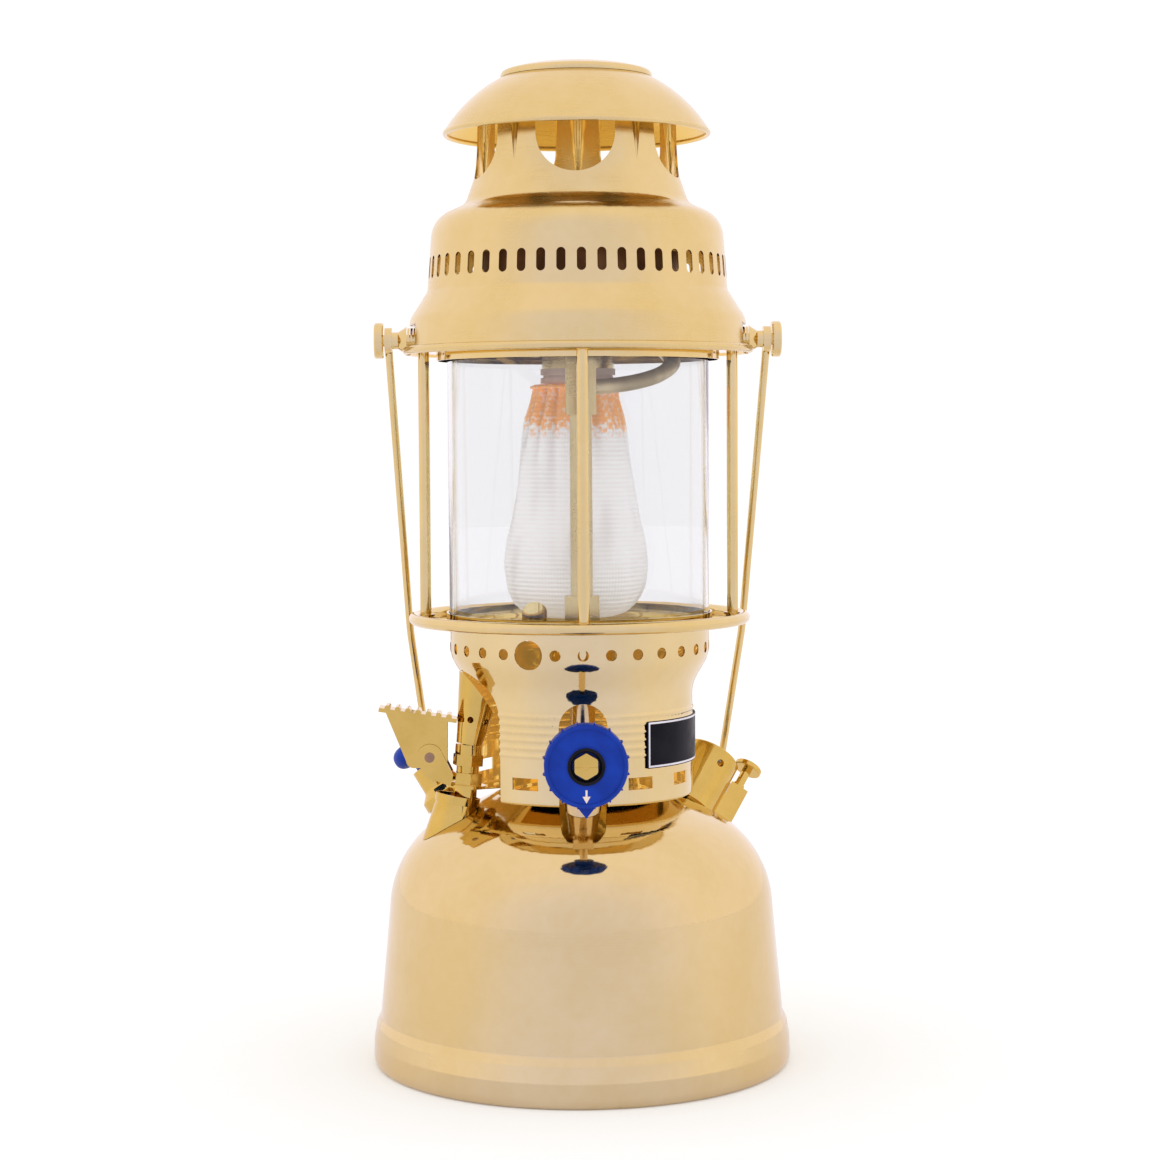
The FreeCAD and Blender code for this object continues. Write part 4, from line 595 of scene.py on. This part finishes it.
MIRROR_BRASS = Brass("brass_mirror")
# the casing takes the painted reflection and glow on its sides that face the axis
CASING_BRASS = Brass("brass_pressed", pale=(0.780, 0.630, 0.325), deep=(0.715, 0.550, 0.220),
                     painted_reflection_share=1.0, painted_reflection_glow=0.17)
TANK_BRASS = Brass("brass_tank", pale=(0.765, 0.600, 0.298), deep=(0.700, 0.520, 0.200),
                   smooth=0.06, dull=0.13, ring_height=0.03)
# the spun hood takes a fainter painted reflection glow on its sides that face the axis
SPUN_BRASS = Brass("brass_spun", smooth=0.18, dull=0.30, ring_pitch=1100.0, ring_height=0.05,
                   painted_reflection_share=1.0, painted_reflection_glow=0.06)
CAST_BRASS = Brass("brass_cast", pale=(0.71, 0.48, 0.11), deep=(0.60, 0.39, 0.07), smooth=0.07,
                   dull=0.17, cloud_scale=70.0)
RAW_BRASS = Brass("brass_machined", pale=(0.70, 0.53, 0.28), deep=(0.60, 0.42, 0.18), smooth=0.12,
                  dull=0.24, cloud_scale=60.0, ring_pitch=2600.0, ring_height=0.08)
TUBE_BRASS = Brass("brass_drawn", pale=(0.62, 0.49, 0.25), deep=(0.52, 0.38, 0.16), smooth=0.18,
                   dull=0.34, cloud_scale=70.0, ring_pitch=1800.0, ring_height=0.06)
RIVET_BRONZE = Brass("bronze_rivet", pale=(0.36, 0.22, 0.12), deep=(0.26, 0.15, 0.08), smooth=0.2,
                     dull=0.36, cloud_scale=120.0)
CLEAR_GLASS = Glass("glass_clear")
FIRED_CLAY = Plain("clay_fired", light=(0.86, 0.68, 0.56), dark=(0.66, 0.50, 0.40), smooth=0.75,
                   dull=0.95, cloud_scale=90.0, speck_scale=900.0, speck_amount=0.35,
                   speck_colour=(0.55, 0.47, 0.40), grain=0.4)
BRIGHT_STEEL = Plain("steel_bright", light=(0.66, 0.63, 0.57), dark=(0.52, 0.49, 0.44),
                     metallic=1.0, smooth=0.18, dull=0.34, cloud_scale=70.0, speck_amount=0.1,
                     speck_colour=(0.35, 0.31, 0.26), grain=0.05)
HEATED_LOOP = Plain("loop_heat_toned", light=(0.78, 0.64, 0.40), dark=(0.48, 0.38, 0.22),
                    metallic=0.4, smooth=0.32, dull=0.55, cloud_scale=60.0, speck_scale=420.0,
                    speck_amount=0.45, speck_colour=(0.52, 0.48, 0.42), grain=0.3)
BLUE_PLASTIC = Plain("plastic_blue", light=(0.0, 0.036, 0.36), dark=(0.0, 0.026, 0.28),
                     smooth=0.38, dull=0.5, cloud_scale=120.0, speck_scale=1400.0,
                     speck_amount=0.06, speck_colour=(0.01, 0.05, 0.42), grain=0.08, gloss=0.2)
PRINT_PALE = Plain("print_pale", light=(0.86, 0.70, 0.62), dark=(0.78, 0.62, 0.55), smooth=0.5,
                   dull=0.6, speck_amount=0.05, speck_colour=(0.5, 0.4, 0.4), gloss=0.2)
PLATE_BLACK = Plain("enamel_black", light=(0.006, 0.006, 0.009), dark=(0.011, 0.011, 0.014),
                    smooth=0.28, dull=0.42, cloud_scale=110.0, speck_scale=1500.0,
                    speck_amount=0.08, speck_colour=(0.04, 0.04, 0.04), grain=0.04, gloss=0.06)
HOOD_LINER = Plain("steel_heat_darkened", light=(0.26, 0.13, 0.045), dark=(0.15, 0.07, 0.025),
                   metallic=0.8, smooth=0.35, dull=0.6, cloud_scale=50.0, speck_scale=500.0,
                   speck_amount=0.3, speck_colour=(0.16, 0.14, 0.12), grain=0.2)
PLATE_SILVER = Plain("plate_silver", light=(0.86, 0.86, 0.87), dark=(0.70, 0.70, 0.72),
                     metallic=1.0, smooth=0.2, dull=0.32, speck_amount=0.05, grain=0.03)
SOFT_RUBBER = Plain("rubber_black", light=(0.035, 0.035, 0.035), dark=(0.02, 0.02, 0.02),
                    smooth=0.6, dull=0.8, speck_colour=(0.08, 0.08, 0.08), grain=0.2)
DIAL_WHITE = Plain("dial_white_enamel", light=(0.82, 0.81, 0.78), dark=(0.76, 0.75, 0.72),
                   smooth=0.35, dull=0.45, speck_amount=0.05, speck_colour=(0.5, 0.48, 0.44))
PUMP_LEATHER = Plain("leather_brown", light=(0.28, 0.14, 0.07), dark=(0.17, 0.08, 0.04),
                     smooth=0.5, dull=0.75, speck_scale=700.0, speck_amount=0.4,
                     speck_colour=(0.10, 0.05, 0.03), grain=0.5)
MANTLE_KNIT = Knit("mantle_knit")


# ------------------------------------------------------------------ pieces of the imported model
@dataclass
class Assembly:
    """A sub-assembly: which of the model's pieces it dresses, and in what."""

    title: str
    dress: dict[str, Finish] = field(default_factory=dict)
    crease: float = math.radians(32.0)

    def finish_node(self, name: str, finish: Finish) -> None:
        """Gives a piece of the model its material and smooth shading.

        Args:
            name: the piece's name in the model.
            finish: what it is dressed in.
        """
        piece = frame["nodes"][name]
        piece.data.materials.clear()
        piece.data.materials.append(finish.material())
        smooth_triangles(piece, self.crease)

    def build(self) -> list[str]:
        """Dresses the pieces and adds the new ones.

        Returns:
            Names of everything that was dressed or added.
        """
        for name, finish in self.dress.items():
            self.finish_node(name, finish)
        return [*self.dress, *self.extra()]

    def extra(self) -> list[str]:
        """Adds pieces that the model lacks and returns their names."""
        return []


def smooth_triangles(piece: bpy.types.Object, crease: float) -> None:
    """Shades a piece's loose triangles smoothly, with sharp edges where it folds.

    Args:
        piece: object whose mesh is left as it is.
        crease: angle in radians above which an edge stays sharp.
    """
    piece.data.polygons.foreach_set("use_smooth", [True] * len(piece.data.polygons))
    weld = piece.modifiers.new("weld", "WELD")
    weld.merge_threshold = WELD_REACH
    split = piece.modifiers.new("split", "EDGE_SPLIT")
    split.split_angle = crease
    even = piece.modifiers.new("even", "WEIGHTED_NORMAL")
    even.keep_sharp = True
    even.weight = NORMAL_WEIGHT


def stand(name: str, data: bpy.types.ID) -> bpy.types.Object:
    """Puts a new object in the scene.

    Args:
        name: name of the object.
        data: its mesh, light or camera.

    Returns:
        The object, at the origin.
    """
    new = bpy.data.objects.new(name, data)
    bpy.context.scene.collection.objects.link(new)
    return new


def new_piece(name: str, shape: bmesh.types.BMesh, finish: Finish, body: Body,
              smooth: bool = True) -> bpy.types.Object:
    """Makes an object from a bmesh, dressed and riding on its body.

    Args:
        name: name of the piece.
        shape: its mesh in the model's frame, which is freed.
        finish: what it is dressed in.
        body: body that it rides on.
        smooth: whether its faces are shaded smoothly.

    Returns:
        The new object.
    """
    mesh = bpy.data.meshes.new(name)
    shape.to_mesh(mesh)
    shape.free()
    mesh.polygons.foreach_set("use_smooth", [smooth] * len(mesh.polygons))
    piece = stand(name, mesh)
    mesh.materials.append(finish.material())
    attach(piece, body.value)
    return piece


@dataclass
class Mantle(Assembly):
    """Knitted bag that hangs from the clay nozzle, gathered by its string."""

    node: str = "mantle"
    around: int = 180
    rows: int = 190
    row_power: float = 1.15
    profile: tuple[tuple[float, float], ...] = (
        (0.0, 0.60), (0.07, 0.64), (0.15, 0.71), (0.35, 0.785), (0.55, 0.89), (0.72, 0.98),
        (0.80, 0.99), (0.89, 0.94), (0.95, 0.80), (0.985, 0.55), (1.0, 0.0))
    course: float = 1.75 * MM
    course_height: float = 0.16 * MM
    course_start: float = 12.0 * MM
    pleats: int = 14
    pleat_depth: float = 1.9 * MM
    pleat_reach: float = 34.0 * MM
    slack: float = 1.3 * MM
    slack_start: float = 20.0 * MM
    closing: float = 6.0 * MM
    wall: float = 0.35 * MM
    neck_gap: float = 0.1 * MM
    foot_gap: float = 0.3 * MM
    tip: float = 0.02 * MM
    merge: float = 0.03 * MM
    map_radius: float = 25.0 * MM
    flat_share: float = 0.9

    def outline(self, share: float) -> float:
        """Shape of the hanging bag.

        Args:
            share: how far down the bag, from 0 at the neck to 1 at its lowest point.

        Returns:
            Share of the widest radius there.
        """
        steps = self.profile
        for index in range(len(steps) - 1):
            start, end = steps[index], steps[index + 1]
            if share <= end[0]:
                before = steps[max(index - 1, 0)]
                after = steps[min(index + 2, len(steps) - 1)]
                span = end[0] - start[0]
                ratio = (share - start[0]) / span
                leave = (end[1] - before[1]) / (end[0] - before[0]) * span
                arrive = (after[1] - start[1]) / (after[0] - start[0]) * span
                square, cube = ratio ** 2, ratio ** 3
                return ((2 * cube - 3 * square + 1) * start[1] + (cube - 2 * square + ratio) * leave
                        + (3 * square - 2 * cube) * end[1] + (cube - square) * arrive)
        return 0.0

    def extra(self) -> list[str]:
        """Builds the bag in the space of its plain solid.

        Returns:
            The name of the piece.
        """
        low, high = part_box(self.node)
        low, high = Vector(low), Vector(high)
        centre = (low + high) / 2.0
        depth = high.z - low.z - self.foot_gap
        radius = (high.x - low.x) / 2.0
        shape = bmesh.new()
        path = []
        for row in range(self.rows + 1):
            share = math.sin(row / self.rows * math.pi / 2.0) ** self.row_power
            reach = radius * max(self.outline(share), 0.0)
            path.append(shape.verts.new((max(reach, self.tip), 0.0, -share * depth)))
        edges = [shape.edges.new(pair) for pair in zip(path, path[1:])]
        bmesh.ops.spin(shape, geom=path + edges, cent=(0, 0, 0), axis=(0, 0, 1), dvec=(0, 0, 0),
                       angle=math.tau, steps=self.around, use_merge=True, use_duplicate=False)
        bmesh.ops.remove_doubles(shape, verts=shape.verts[:], dist=self.merge)
        # each point's fold weight, which the cloth darkens as painted shade
        folds = shape.verts.layers.float.new("fold")
        for vert in shape.verts:
            vert[folds] = self.drape(vert, depth)
        bmesh.ops.recalc_face_normals(shape, faces=shape.faces[:])
        self.map_cloth(shape)
        bmesh.ops.translate(shape, verts=shape.verts[:],
                            vec=(centre.x, centre.y, high.z - self.neck_gap))
        bag = new_piece("mantle_bag", shape, MANTLE_KNIT, Body.LANTERN)
        wall = bag.modifiers.new("cloth_wall", "SOLIDIFY")
        wall.thickness = self.wall
        wall.offset = -1.0
        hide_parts(self.node)
        return [bag.name]

    def drape(self, vert: bmesh.types.BMVert, depth: float) -> float:
        """Gives one point of the bag its courses, pleats and slack.

        Args:
            vert: point to move.
            depth: whole depth of the bag.

        Returns:
            How far the point lies in a fold, from 0 to 1, which the cloth darkens as painted shade.
        """
        turn = math.atan2(vert.co.y, vert.co.x)
        reach = math.hypot(vert.co.x, vert.co.y)
        if reach < 0.5 * MM:
            return 0.0
        down = -vert.co.z
        # the pleats stand unevenly, and some are deeper than others
        fade = max(0.0, 1.0 - down / self.pleat_reach)
        pleat = math.cos(turn * self.pleats + 1.4 * math.sin(turn * 3.0)) * self.pleat_depth
        deeper = 0.65 + 0.35 * math.sin(turn * 5.0 + 0.7)
        edge = min(1.0, max(0.0, (depth - down) / self.closing))
        # the courses run slightly askew and waver, and the slack bulges between them
        tilt = 0.9 * MM * math.sin(turn + 0.6) + 0.5 * MM * math.sin(2.0 * turn)
        ring = math.sin((down + tilt) / self.course * math.tau) * self.course_height
        wander = noise.noise(Vector((vert.co.x * 90, vert.co.y * 90, vert.co.z * 260)))
        slack = noise.noise(Vector((math.cos(turn) * 3.2, math.sin(turn) * 3.2, down * 38.0)))
        new = reach + pleat * fade * deeper - 0.9 * self.pleat_depth * fade
        new += ring * (0.7 + 0.6 * wander) * edge * min(1.0, down / self.course_start)
        new += slack * self.slack * edge * min(1.0, down / self.slack_start)
        scale = new / reach
        vert.co.x *= scale
        vert.co.y *= scale
        # painted shade weight: deepest in the pleat valleys, and in the slack's creases lower down
        valley = (0.5 - 0.5 * pleat / self.pleat_depth) ** 2 * fade * deeper
        crease = max(0.0, -0.6 * slack) * edge * (1.0 - fade)
        return min(1.0, valley + crease)

    def map_cloth(self, shape: bmesh.types.BMesh) -> None:
        """Writes a map in metres round and down the cloth.

        Args:
            shape: the bag before it is put in place.
        """
        layer = shape.loops.layers.uv.new("cloth")
        for face in shape.faces:
            middle = face.calc_center_median()
            base = math.atan2(middle.y, middle.x)
            for loop in face.loops:
                turn = math.atan2(loop.vert.co.y, loop.vert.co.x)
                while turn - base > math.pi:
                    turn -= math.tau
                while base - turn > math.pi:
                    turn += math.tau
                loop[layer].uv = (turn * self.map_radius, -loop.vert.co.z)


@dataclass
class Nameplate(Assembly):
    """Bare black plate, bent round the casing, with a thin bright border."""

    radius: float = 46.69 * MM
    start: float = math.radians(33.0)
    end: float = math.radians(97.0)
    low: float = 123.0 * MM
    height: float = 18.5 * MM
    line: float = 0.75 * MM
    inset: float = 0.35 * MM
    proud: float = 0.06 * MM
    steps: int = 64

    def bar(self, shape: bmesh.types.BMesh, start: float, end: float, low: float,
            high: float) -> None:
        """Adds one bent bar of the border.

        Args:
            shape: mesh that it goes into.
            start: azimuth of its first end, from the front towards +X.
            end: azimuth of its other end.
            low: height of its lower edge.
            high: height of its upper edge.
        """
        first = Matrix.Rotation(start, 4, "Z")
        inner = self.radius - self.proud
        outer = self.radius + self.proud
        corners = [(0, -inner, low), (0, -outer, low), (0, -outer, high), (0, -inner, high)]
        verts = [shape.verts.new(first @ Vector(corner)) for corner in corners]
        face = shape.faces.new(verts)
        count = max(2, round(self.steps * (end - start) / (self.end - self.start)))
        bmesh.ops.spin(shape, geom=[face], cent=(0, 0, 0), axis=(0, 0, 1), dvec=(0, 0, 0),
                       angle=end - start, steps=count, use_duplicate=False)

    def extra(self) -> list[str]:
        """Lays the border on the plate.

        Returns:
            The name of the border.
        """
        shape = bmesh.new()
        side = (self.line + self.inset) / self.radius
        gap = self.inset / self.radius
        low, high = self.low + self.inset, self.low + self.height - self.inset
        self.bar(shape, self.start + gap, self.end - gap, low, low + self.line)
        self.bar(shape, self.start + gap, self.end - gap, high - self.line, high)
        half = self.line / 2.0
        self.bar(shape, self.start + gap, self.start + side, low + half, high - half)
        self.bar(shape, self.end - side, self.end - gap, low + half, high - half)
        bmesh.ops.recalc_face_normals(shape, faces=shape.faces[:])
        border = new_piece("nameplate_border", shape, PLATE_SILVER, Body.LANTERN, False)
        return [border.name]


@dataclass
class Gauge(Assembly):
    """Filler cap with its pressure gauge, which gets plain marks round its dial."""

    dial: str = "gauge_dial"
    needle: str = "gauge_needle"
    marks: int = 11
    between: int = 5
    sweep: float = math.radians(270.0)
    inset: float = 0.6 * MM
    short: float = 1.1 * MM
    long: float = 2.0 * MM
    width: float = 0.34 * MM
    proud: float = 0.06 * MM

    def extra(self) -> list[str]:
        """Lays the marks on the dial, from where the needle rests to where it ends.

        Returns:
            The name of the marks.
        """
        joint = next(joint for joint in frame["joints"] if joint["name"] == "gauge_sweep")
        axis, centre = Vector(joint["axis"]).normalized(), Vector(joint["pos_m"])
        sense = 1.0 if axis.z > 0 else -1.0
        axis = axis * sense
        offsets = [vert.co - centre for vert in frame["nodes"][self.dial].data.vertices]
        rise = max(offset.dot(axis) for offset in offsets)
        reach = max((offset - axis * offset.dot(axis)).length for offset in offsets)
        tips = [vert.co - centre for vert in frame["nodes"][self.needle].data.vertices]
        flat = [tip - axis * tip.dot(axis) for tip in tips]
        start = max(flat, key=lambda tip: tip.length).normalized()
        place = Matrix((start.cross(axis), start, axis)).transposed().to_4x4()
        place.translation = centre + axis * rise
        shape = bmesh.new()
        for index in range(self.marks):
            length = self.short if index % self.between else self.long
            mark = bmesh.ops.create_cube(shape, size=1.0)["verts"]
            bmesh.ops.scale(shape, verts=mark, vec=(self.width, length, 2.0 * self.proud))
            bmesh.ops.translate(shape, verts=mark, vec=(0, reach - self.inset - length / 2.0, 0))
            turn = Matrix.Rotation(sense * self.sweep * index / (self.marks - 1), 3, "Z")
            bmesh.ops.rotate(shape, verts=mark, cent=(0, 0, 0), matrix=turn)
        bmesh.ops.transform(shape, matrix=place, verts=shape.verts[:])
        marks = new_piece("dial_marks", shape, PLATE_BLACK, Body.FILLER, False)
        return [marks.name]


@dataclass
class ControlWheel(Assembly):
    """Blue hand wheel with a plain arrow that shows which way it points, and painted shade round
    its nut.
    """

    node: str = "control_wheel"
    axis_height: float = 130.0 * MM
    drop: float = 11.3 * MM
    dish: float = 0.5 * MM
    shaft: float = 2.4 * MM
    head: float = 2.6 * MM
    stroke: float = 0.75 * MM
    half_head: float = 1.5 * MM
    proud: float = 0.12 * MM
    nut: float = 5.15 * MM
    # reach, wall, depth and thickness of the dark painted-shade lining round the nut
    well: float = 7.1 * MM
    recess: float = 6.1 * MM
    recess_depth: float = 3.4 * MM
    painted_lining: float = 0.15 * MM
    skin: float = 0.02 * MM
    steps: int = 48

    def arrow(self, face: float) -> bpy.types.Object:
        """Makes the arrow, which points down its outline from the shaft to the head.

        Args:
            face: place of the wheel's face along Y.

        Returns:
            The arrow.
        """
        top = self.axis_height - self.drop + (self.shaft + self.head) / 2.0
        neck = top - self.shaft
        half = self.stroke / 2.0
        shape = bmesh.new()
        outline = [(-half, top), (half, top), (half, neck), (self.half_head, neck),
                   (0.0, neck - self.head), (-self.half_head, neck), (-half, neck)]
        verts = [shape.verts.new((x, face + self.dish + self.skin, z)) for x, z in outline]
        front = shape.faces.new(verts)
        raised = bmesh.ops.extrude_face_region(shape, geom=[front])["geom"]
        moved = [part for part in raised if isinstance(part, bmesh.types.BMVert)]
        bmesh.ops.translate(shape, verts=moved, vec=(0, -self.proud, 0))
        bmesh.ops.recalc_face_normals(shape, faces=shape.faces[:])
        return new_piece("wheel_arrow", shape, PRINT_PALE, Body.CONTROL, False)

    def painted_shade_lining(self, face: float) -> bpy.types.Object:
        """Makes a dark lining of painted shade in the recess round the nut, with its rim on the
        face.

        Args:
            face: place of the wheel's face along Y.

        Returns:
            The lining.
        """
        # painted shade: a black sheet lines the recess walls and floor and rims it on the face
        shape = bmesh.new()
        rim, deep = 1.5 * self.skin, self.recess_depth - 2.5 * self.skin
        wall = self.recess - 0.5 * self.skin
        corners = [(self.well, -self.proud), (self.well, rim), (wall, rim), (wall, deep),
                   (self.nut, deep), (self.nut, deep - self.painted_lining),
                   (wall - self.painted_lining, deep - self.painted_lining), (wall - self.painted_lining, -self.proud)]
        verts = [shape.verts.new((reach, face + sunk, self.axis_height)) for reach, sunk in corners]
        for start, end in zip(verts, verts[1:] + verts[:1]):
            shape.edges.new((start, end))
        bmesh.ops.spin(shape, geom=shape.verts[:] + shape.edges[:], angle=math.tau,
                       steps=self.steps, cent=(0, 0, self.axis_height), axis=(0, 1, 0),
                       use_merge=True)
        bmesh.ops.recalc_face_normals(shape, faces=shape.faces[:])
        return new_piece("wheel_well_painted_shade", shape, PLATE_BLACK, Body.CONTROL, False)

    def extra(self) -> list[str]:
        """Makes the arrow and the painted-shade lining, and returns their names."""
        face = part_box(self.node)[0][1]
        return [self.arrow(face).name, self.painted_shade_lining(face).name]


@dataclass(frozen=True)
class Lamp:
    """One soft square lamp that faces the lantern."""

    name: str
    place: Point
    power: float
    size: float = 2.0
    spread: float = math.radians(140.0)
    aim: Point = (0.0, 0.0, 0.2)

    def hang(self) -> None:
        """Adds the lamp, which no mirror shows."""
        data = bpy.data.lights.new(self.name, "AREA")
        data.shape = "SQUARE"
        data.size = self.size
        data.energy = self.power
        data.spread = self.spread
        lamp = stand(self.name, data)
        lamp.location = self.place
        lamp.visible_glossy = False
        lamp.rotation_euler = (Vector(self.aim) - Vector(self.place)).to_track_quat(
            "-Z", "Y").to_euler()


@dataclass(frozen=True)
class Studio:
    """Plain white room, soft lights and the camera."""

    distance: float = 1.00988
    height: float = 0.25315
    azimuth: float = math.radians(1.5)
    pitch: float = math.radians(3.3)
    roll: float = math.radians(0.35)
    sensor: float = 36.0
    focal: float = 77.586
    shift: float = 0.0006
    clip: Range = (0.02, 30.0)
    floor_size: float = 6.0
    floor_sides: int = 96
    floor_glow: float = 0.12
    daylight: float = 1.02
    warm: Colour = (1.06, 0.975, 1.03)
    cool: Colour = (0.90, 0.89, 1.25)
    front: Range = (0.2, 1.1)
    paper: Colour = (0.93, 0.93, 0.93)
    mirrored_paper: Colour = (0.80, 0.80, 0.82)
    lamps: tuple[Lamp, ...] = (Lamp("lamp_left", (-2.2, -1.2, 1.4), 2.4),
                               Lamp("lamp_right", (2.2, -1.0, 1.2), 1.6))

    def camera(self) -> str:
        """Places the camera and makes it the scene's.

        Returns:
            The camera's name.
        """
        ahead = Vector((math.sin(self.azimuth), math.cos(self.azimuth), 0.0))
        right = Vector((math.cos(self.azimuth), -math.sin(self.azimuth), 0.0))
        look = ahead * math.cos(self.pitch) - Vector((0, 0, math.sin(self.pitch)))
        above = ahead * math.sin(self.pitch) + Vector((0, 0, math.cos(self.pitch)))
        side = right * math.cos(self.roll) - above * math.sin(self.roll)
        up = above * math.cos(self.roll) + right * math.sin(self.roll)
        data = bpy.data.cameras.new("studio_camera")
        data.sensor_width = self.sensor
        data.sensor_fit = "HORIZONTAL"
        data.lens = self.focal
        data.shift_x = self.shift
        data.clip_start, data.clip_end = self.clip
        eye = stand("studio_camera", data)
        turn = Matrix((side, up, -look)).transposed().to_4x4()
        place = -ahead * self.distance + Vector((0, 0, self.height))
        eye.matrix_world = Matrix.Translation(place) @ turn
        bpy.context.scene.camera = eye
        return eye.name

    def tone(self, graph: Graph, heading: bpy.types.NodeSocket) -> bpy.types.NodeSocket:
        """Gives the room's colour in one direction, cooler in front of the lantern.

        Args:
            graph: where the nodes go.
            heading: direction away from the lantern.

        Returns:
            The colour.
        """
        parts = graph.split(graph.vector("NORMALIZE", heading).outputs[0])
        frontal = graph.math("MULTIPLY", parts["Y"], -1.0)
        return graph.mix(graph.ramp(frontal, *self.front), self.warm, self.cool)

    def mirrored(self, graph: Graph) -> bpy.types.NodeSocket:
        """Tells rays that a mirror sends out from those that see the room through glass or bare.

        Args:
            graph: where the nodes go.

        Returns:
            1 for a mirrored ray, and no more than 0 for the others.
        """
        ray = graph.node("LightPath").outputs
        return graph.math("SUBTRACT", ray["Is Glossy Ray"], ray["Is Transmission Ray"])

    def room(self) -> str:
        """Builds the white floor that the lantern stands on.

        Returns:
            The floor's name.
        """
        shape = bmesh.new()
        bmesh.ops.create_circle(shape, cap_ends=True, segments=self.floor_sides,
                                radius=self.floor_size)
        mesh = bpy.data.meshes.new("studio_floor")
        shape.to_mesh(mesh)
        shape.free()
        floor = stand("studio_floor", mesh)
        paper = bpy.data.materials.new("studio_paper")
        paper.use_nodes = True
        graph = Graph(paper.node_tree)
        out = graph.node("OutputMaterial")
        shader = graph.node("BsdfPrincipled")
        graph.link(shader.outputs[0], out.inputs["Surface"])
        dimmed = graph.mix(1.0, self.tone(graph, graph.place()), self.mirrored_paper, "MULTIPLY")
        graph.fill(shader, Base_Color=graph.mix(self.mirrored(graph), self.paper, dimmed),
                   Emission_Color=WHITE, Emission_Strength=self.floor_glow, Roughness=0.9,
                   Specular_IOR_Level=0.1)
        mesh.materials.append(paper)
        return floor.name

    def sky(self) -> None:
        """Lights the room evenly in white, and shows mirrors its tone."""
        world = bpy.data.worlds.new("studio_world")
        bpy.context.scene.world = world
        world.use_nodes = True
        graph = Graph(world.node_tree)
        out = graph.node("OutputWorld")
        light = graph.node("Background")
        graph.link(light.outputs[0], out.inputs["Surface"])
        tone = self.tone(graph, graph.node("TexCoord").outputs["Generated"])
        graph.fill(light, Color=graph.mix(self.mirrored(graph), WHITE, tone),
                   Strength=self.daylight)

    def build(self) -> list[str]:
        """Builds the room, the lights and the camera, and returns their names."""
        self.sky()
        for lamp in self.lamps:
            lamp.hang()
        view = bpy.context.scene.view_settings
        view.view_transform = "Standard"
        view.look = "None"
        return [self.room(), self.camera(), *(lamp.name for lamp in self.lamps)]


def dressed(names: str, finish: Finish) -> dict[str, Finish]:
    """Pairs each named piece with one finish.

    Args:
        names: names with spaces between.
        finish: finish for all of them.

    Returns:
        The pairs.
    """
    return {name: finish for name in names.split()}


def main() -> None:
    """Builds every sub-assembly in order."""
    assemblies = [
        Assembly("tank", {
            **dressed("tank_shell", TANK_BRASS),
            **dressed("tank_bottom fuel_pickup_tube", RAW_BRASS)}),
        Gauge("filler", {
            **dressed("filler_neck filler_cap_body gauge_housing bleed_screw", CAST_BRASS),
            **dressed("filler_gasket", SOFT_RUBBER), **dressed("gauge_dial", DIAL_WHITE),
            **dressed("gauge_needle", PLATE_BLACK), **dressed("gauge_window", CLEAR_GLASS)}),
        Assembly("pump", {
            **dressed("pump_barrel pump_cap pump_check_valve", CAST_BRASS),
            **dressed("pump_knob", BLUE_PLASTIC), **dressed("pump_rod", BRIGHT_STEEL),
            **dressed("pump_leather", PUMP_LEATHER)}),
        Assembly("preheater", {
            **dressed("preheater_boss preheater_body preheater_tube preheater_lever lever_clevis",
                      CAST_BRASS),
            **dressed("preheater_dip_tube", RAW_BRASS), **dressed("lever_pin", RIVET_BRONZE),
            **dressed("preheater_stem", BRIGHT_STEEL)}),
        Assembly("casing", {
            **dressed("burner_casing burner_floor_plate spirit_cup", CASING_BRASS)}),
        Nameplate("nameplate", dressed("nameplate", PLATE_BLACK)),
        ControlWheel("valve", {
            **dressed("valve_body valve_gland_nut valve_spindle", RAW_BRASS),
            **dressed("control_wheel", BLUE_PLASTIC), **dressed("wheel_nut", CAST_BRASS)}),
        Assembly("frame", {
            **dressed("frame_bottom_ring frame_posts frame_top_ring pivot_sleeves pivot_washers "
                      "bail_screw_left bail_screw_right bail", MIRROR_BRASS)}),
        Assembly("glass", dressed("glass_chimney", CLEAR_GLASS)),
        Assembly("burner", {
            **dressed("generator_nut generator_tube generator_head jet_nozzle", TUBE_BRASS),
            **dressed("generator_loop", HEATED_LOOP), **dressed("ceramic_nozzle", FIRED_CLAY),
            **dressed("mixing_tube", TUBE_BRASS), **dressed("inner_hood", HOOD_LINER),
            **dressed("pricker_rod", BRIGHT_STEEL)}),
        Mantle("mantle", dressed("mantle_tie", MANTLE_KNIT)),
        Assembly("hood", {
            **dressed("hood_shell hood_chimney hood_cap hood_top_disc", SPUN_BRASS)}),
    ]
    for assembly in assemblies:
        names = assembly.build()
        LOG.info("%s: %d pieces: %s", assembly.title, len(names), ", ".join(names))
    LOG.info("studio: %s", ", ".join(Studio().build()))


if __name__ == "__main__":
    main()
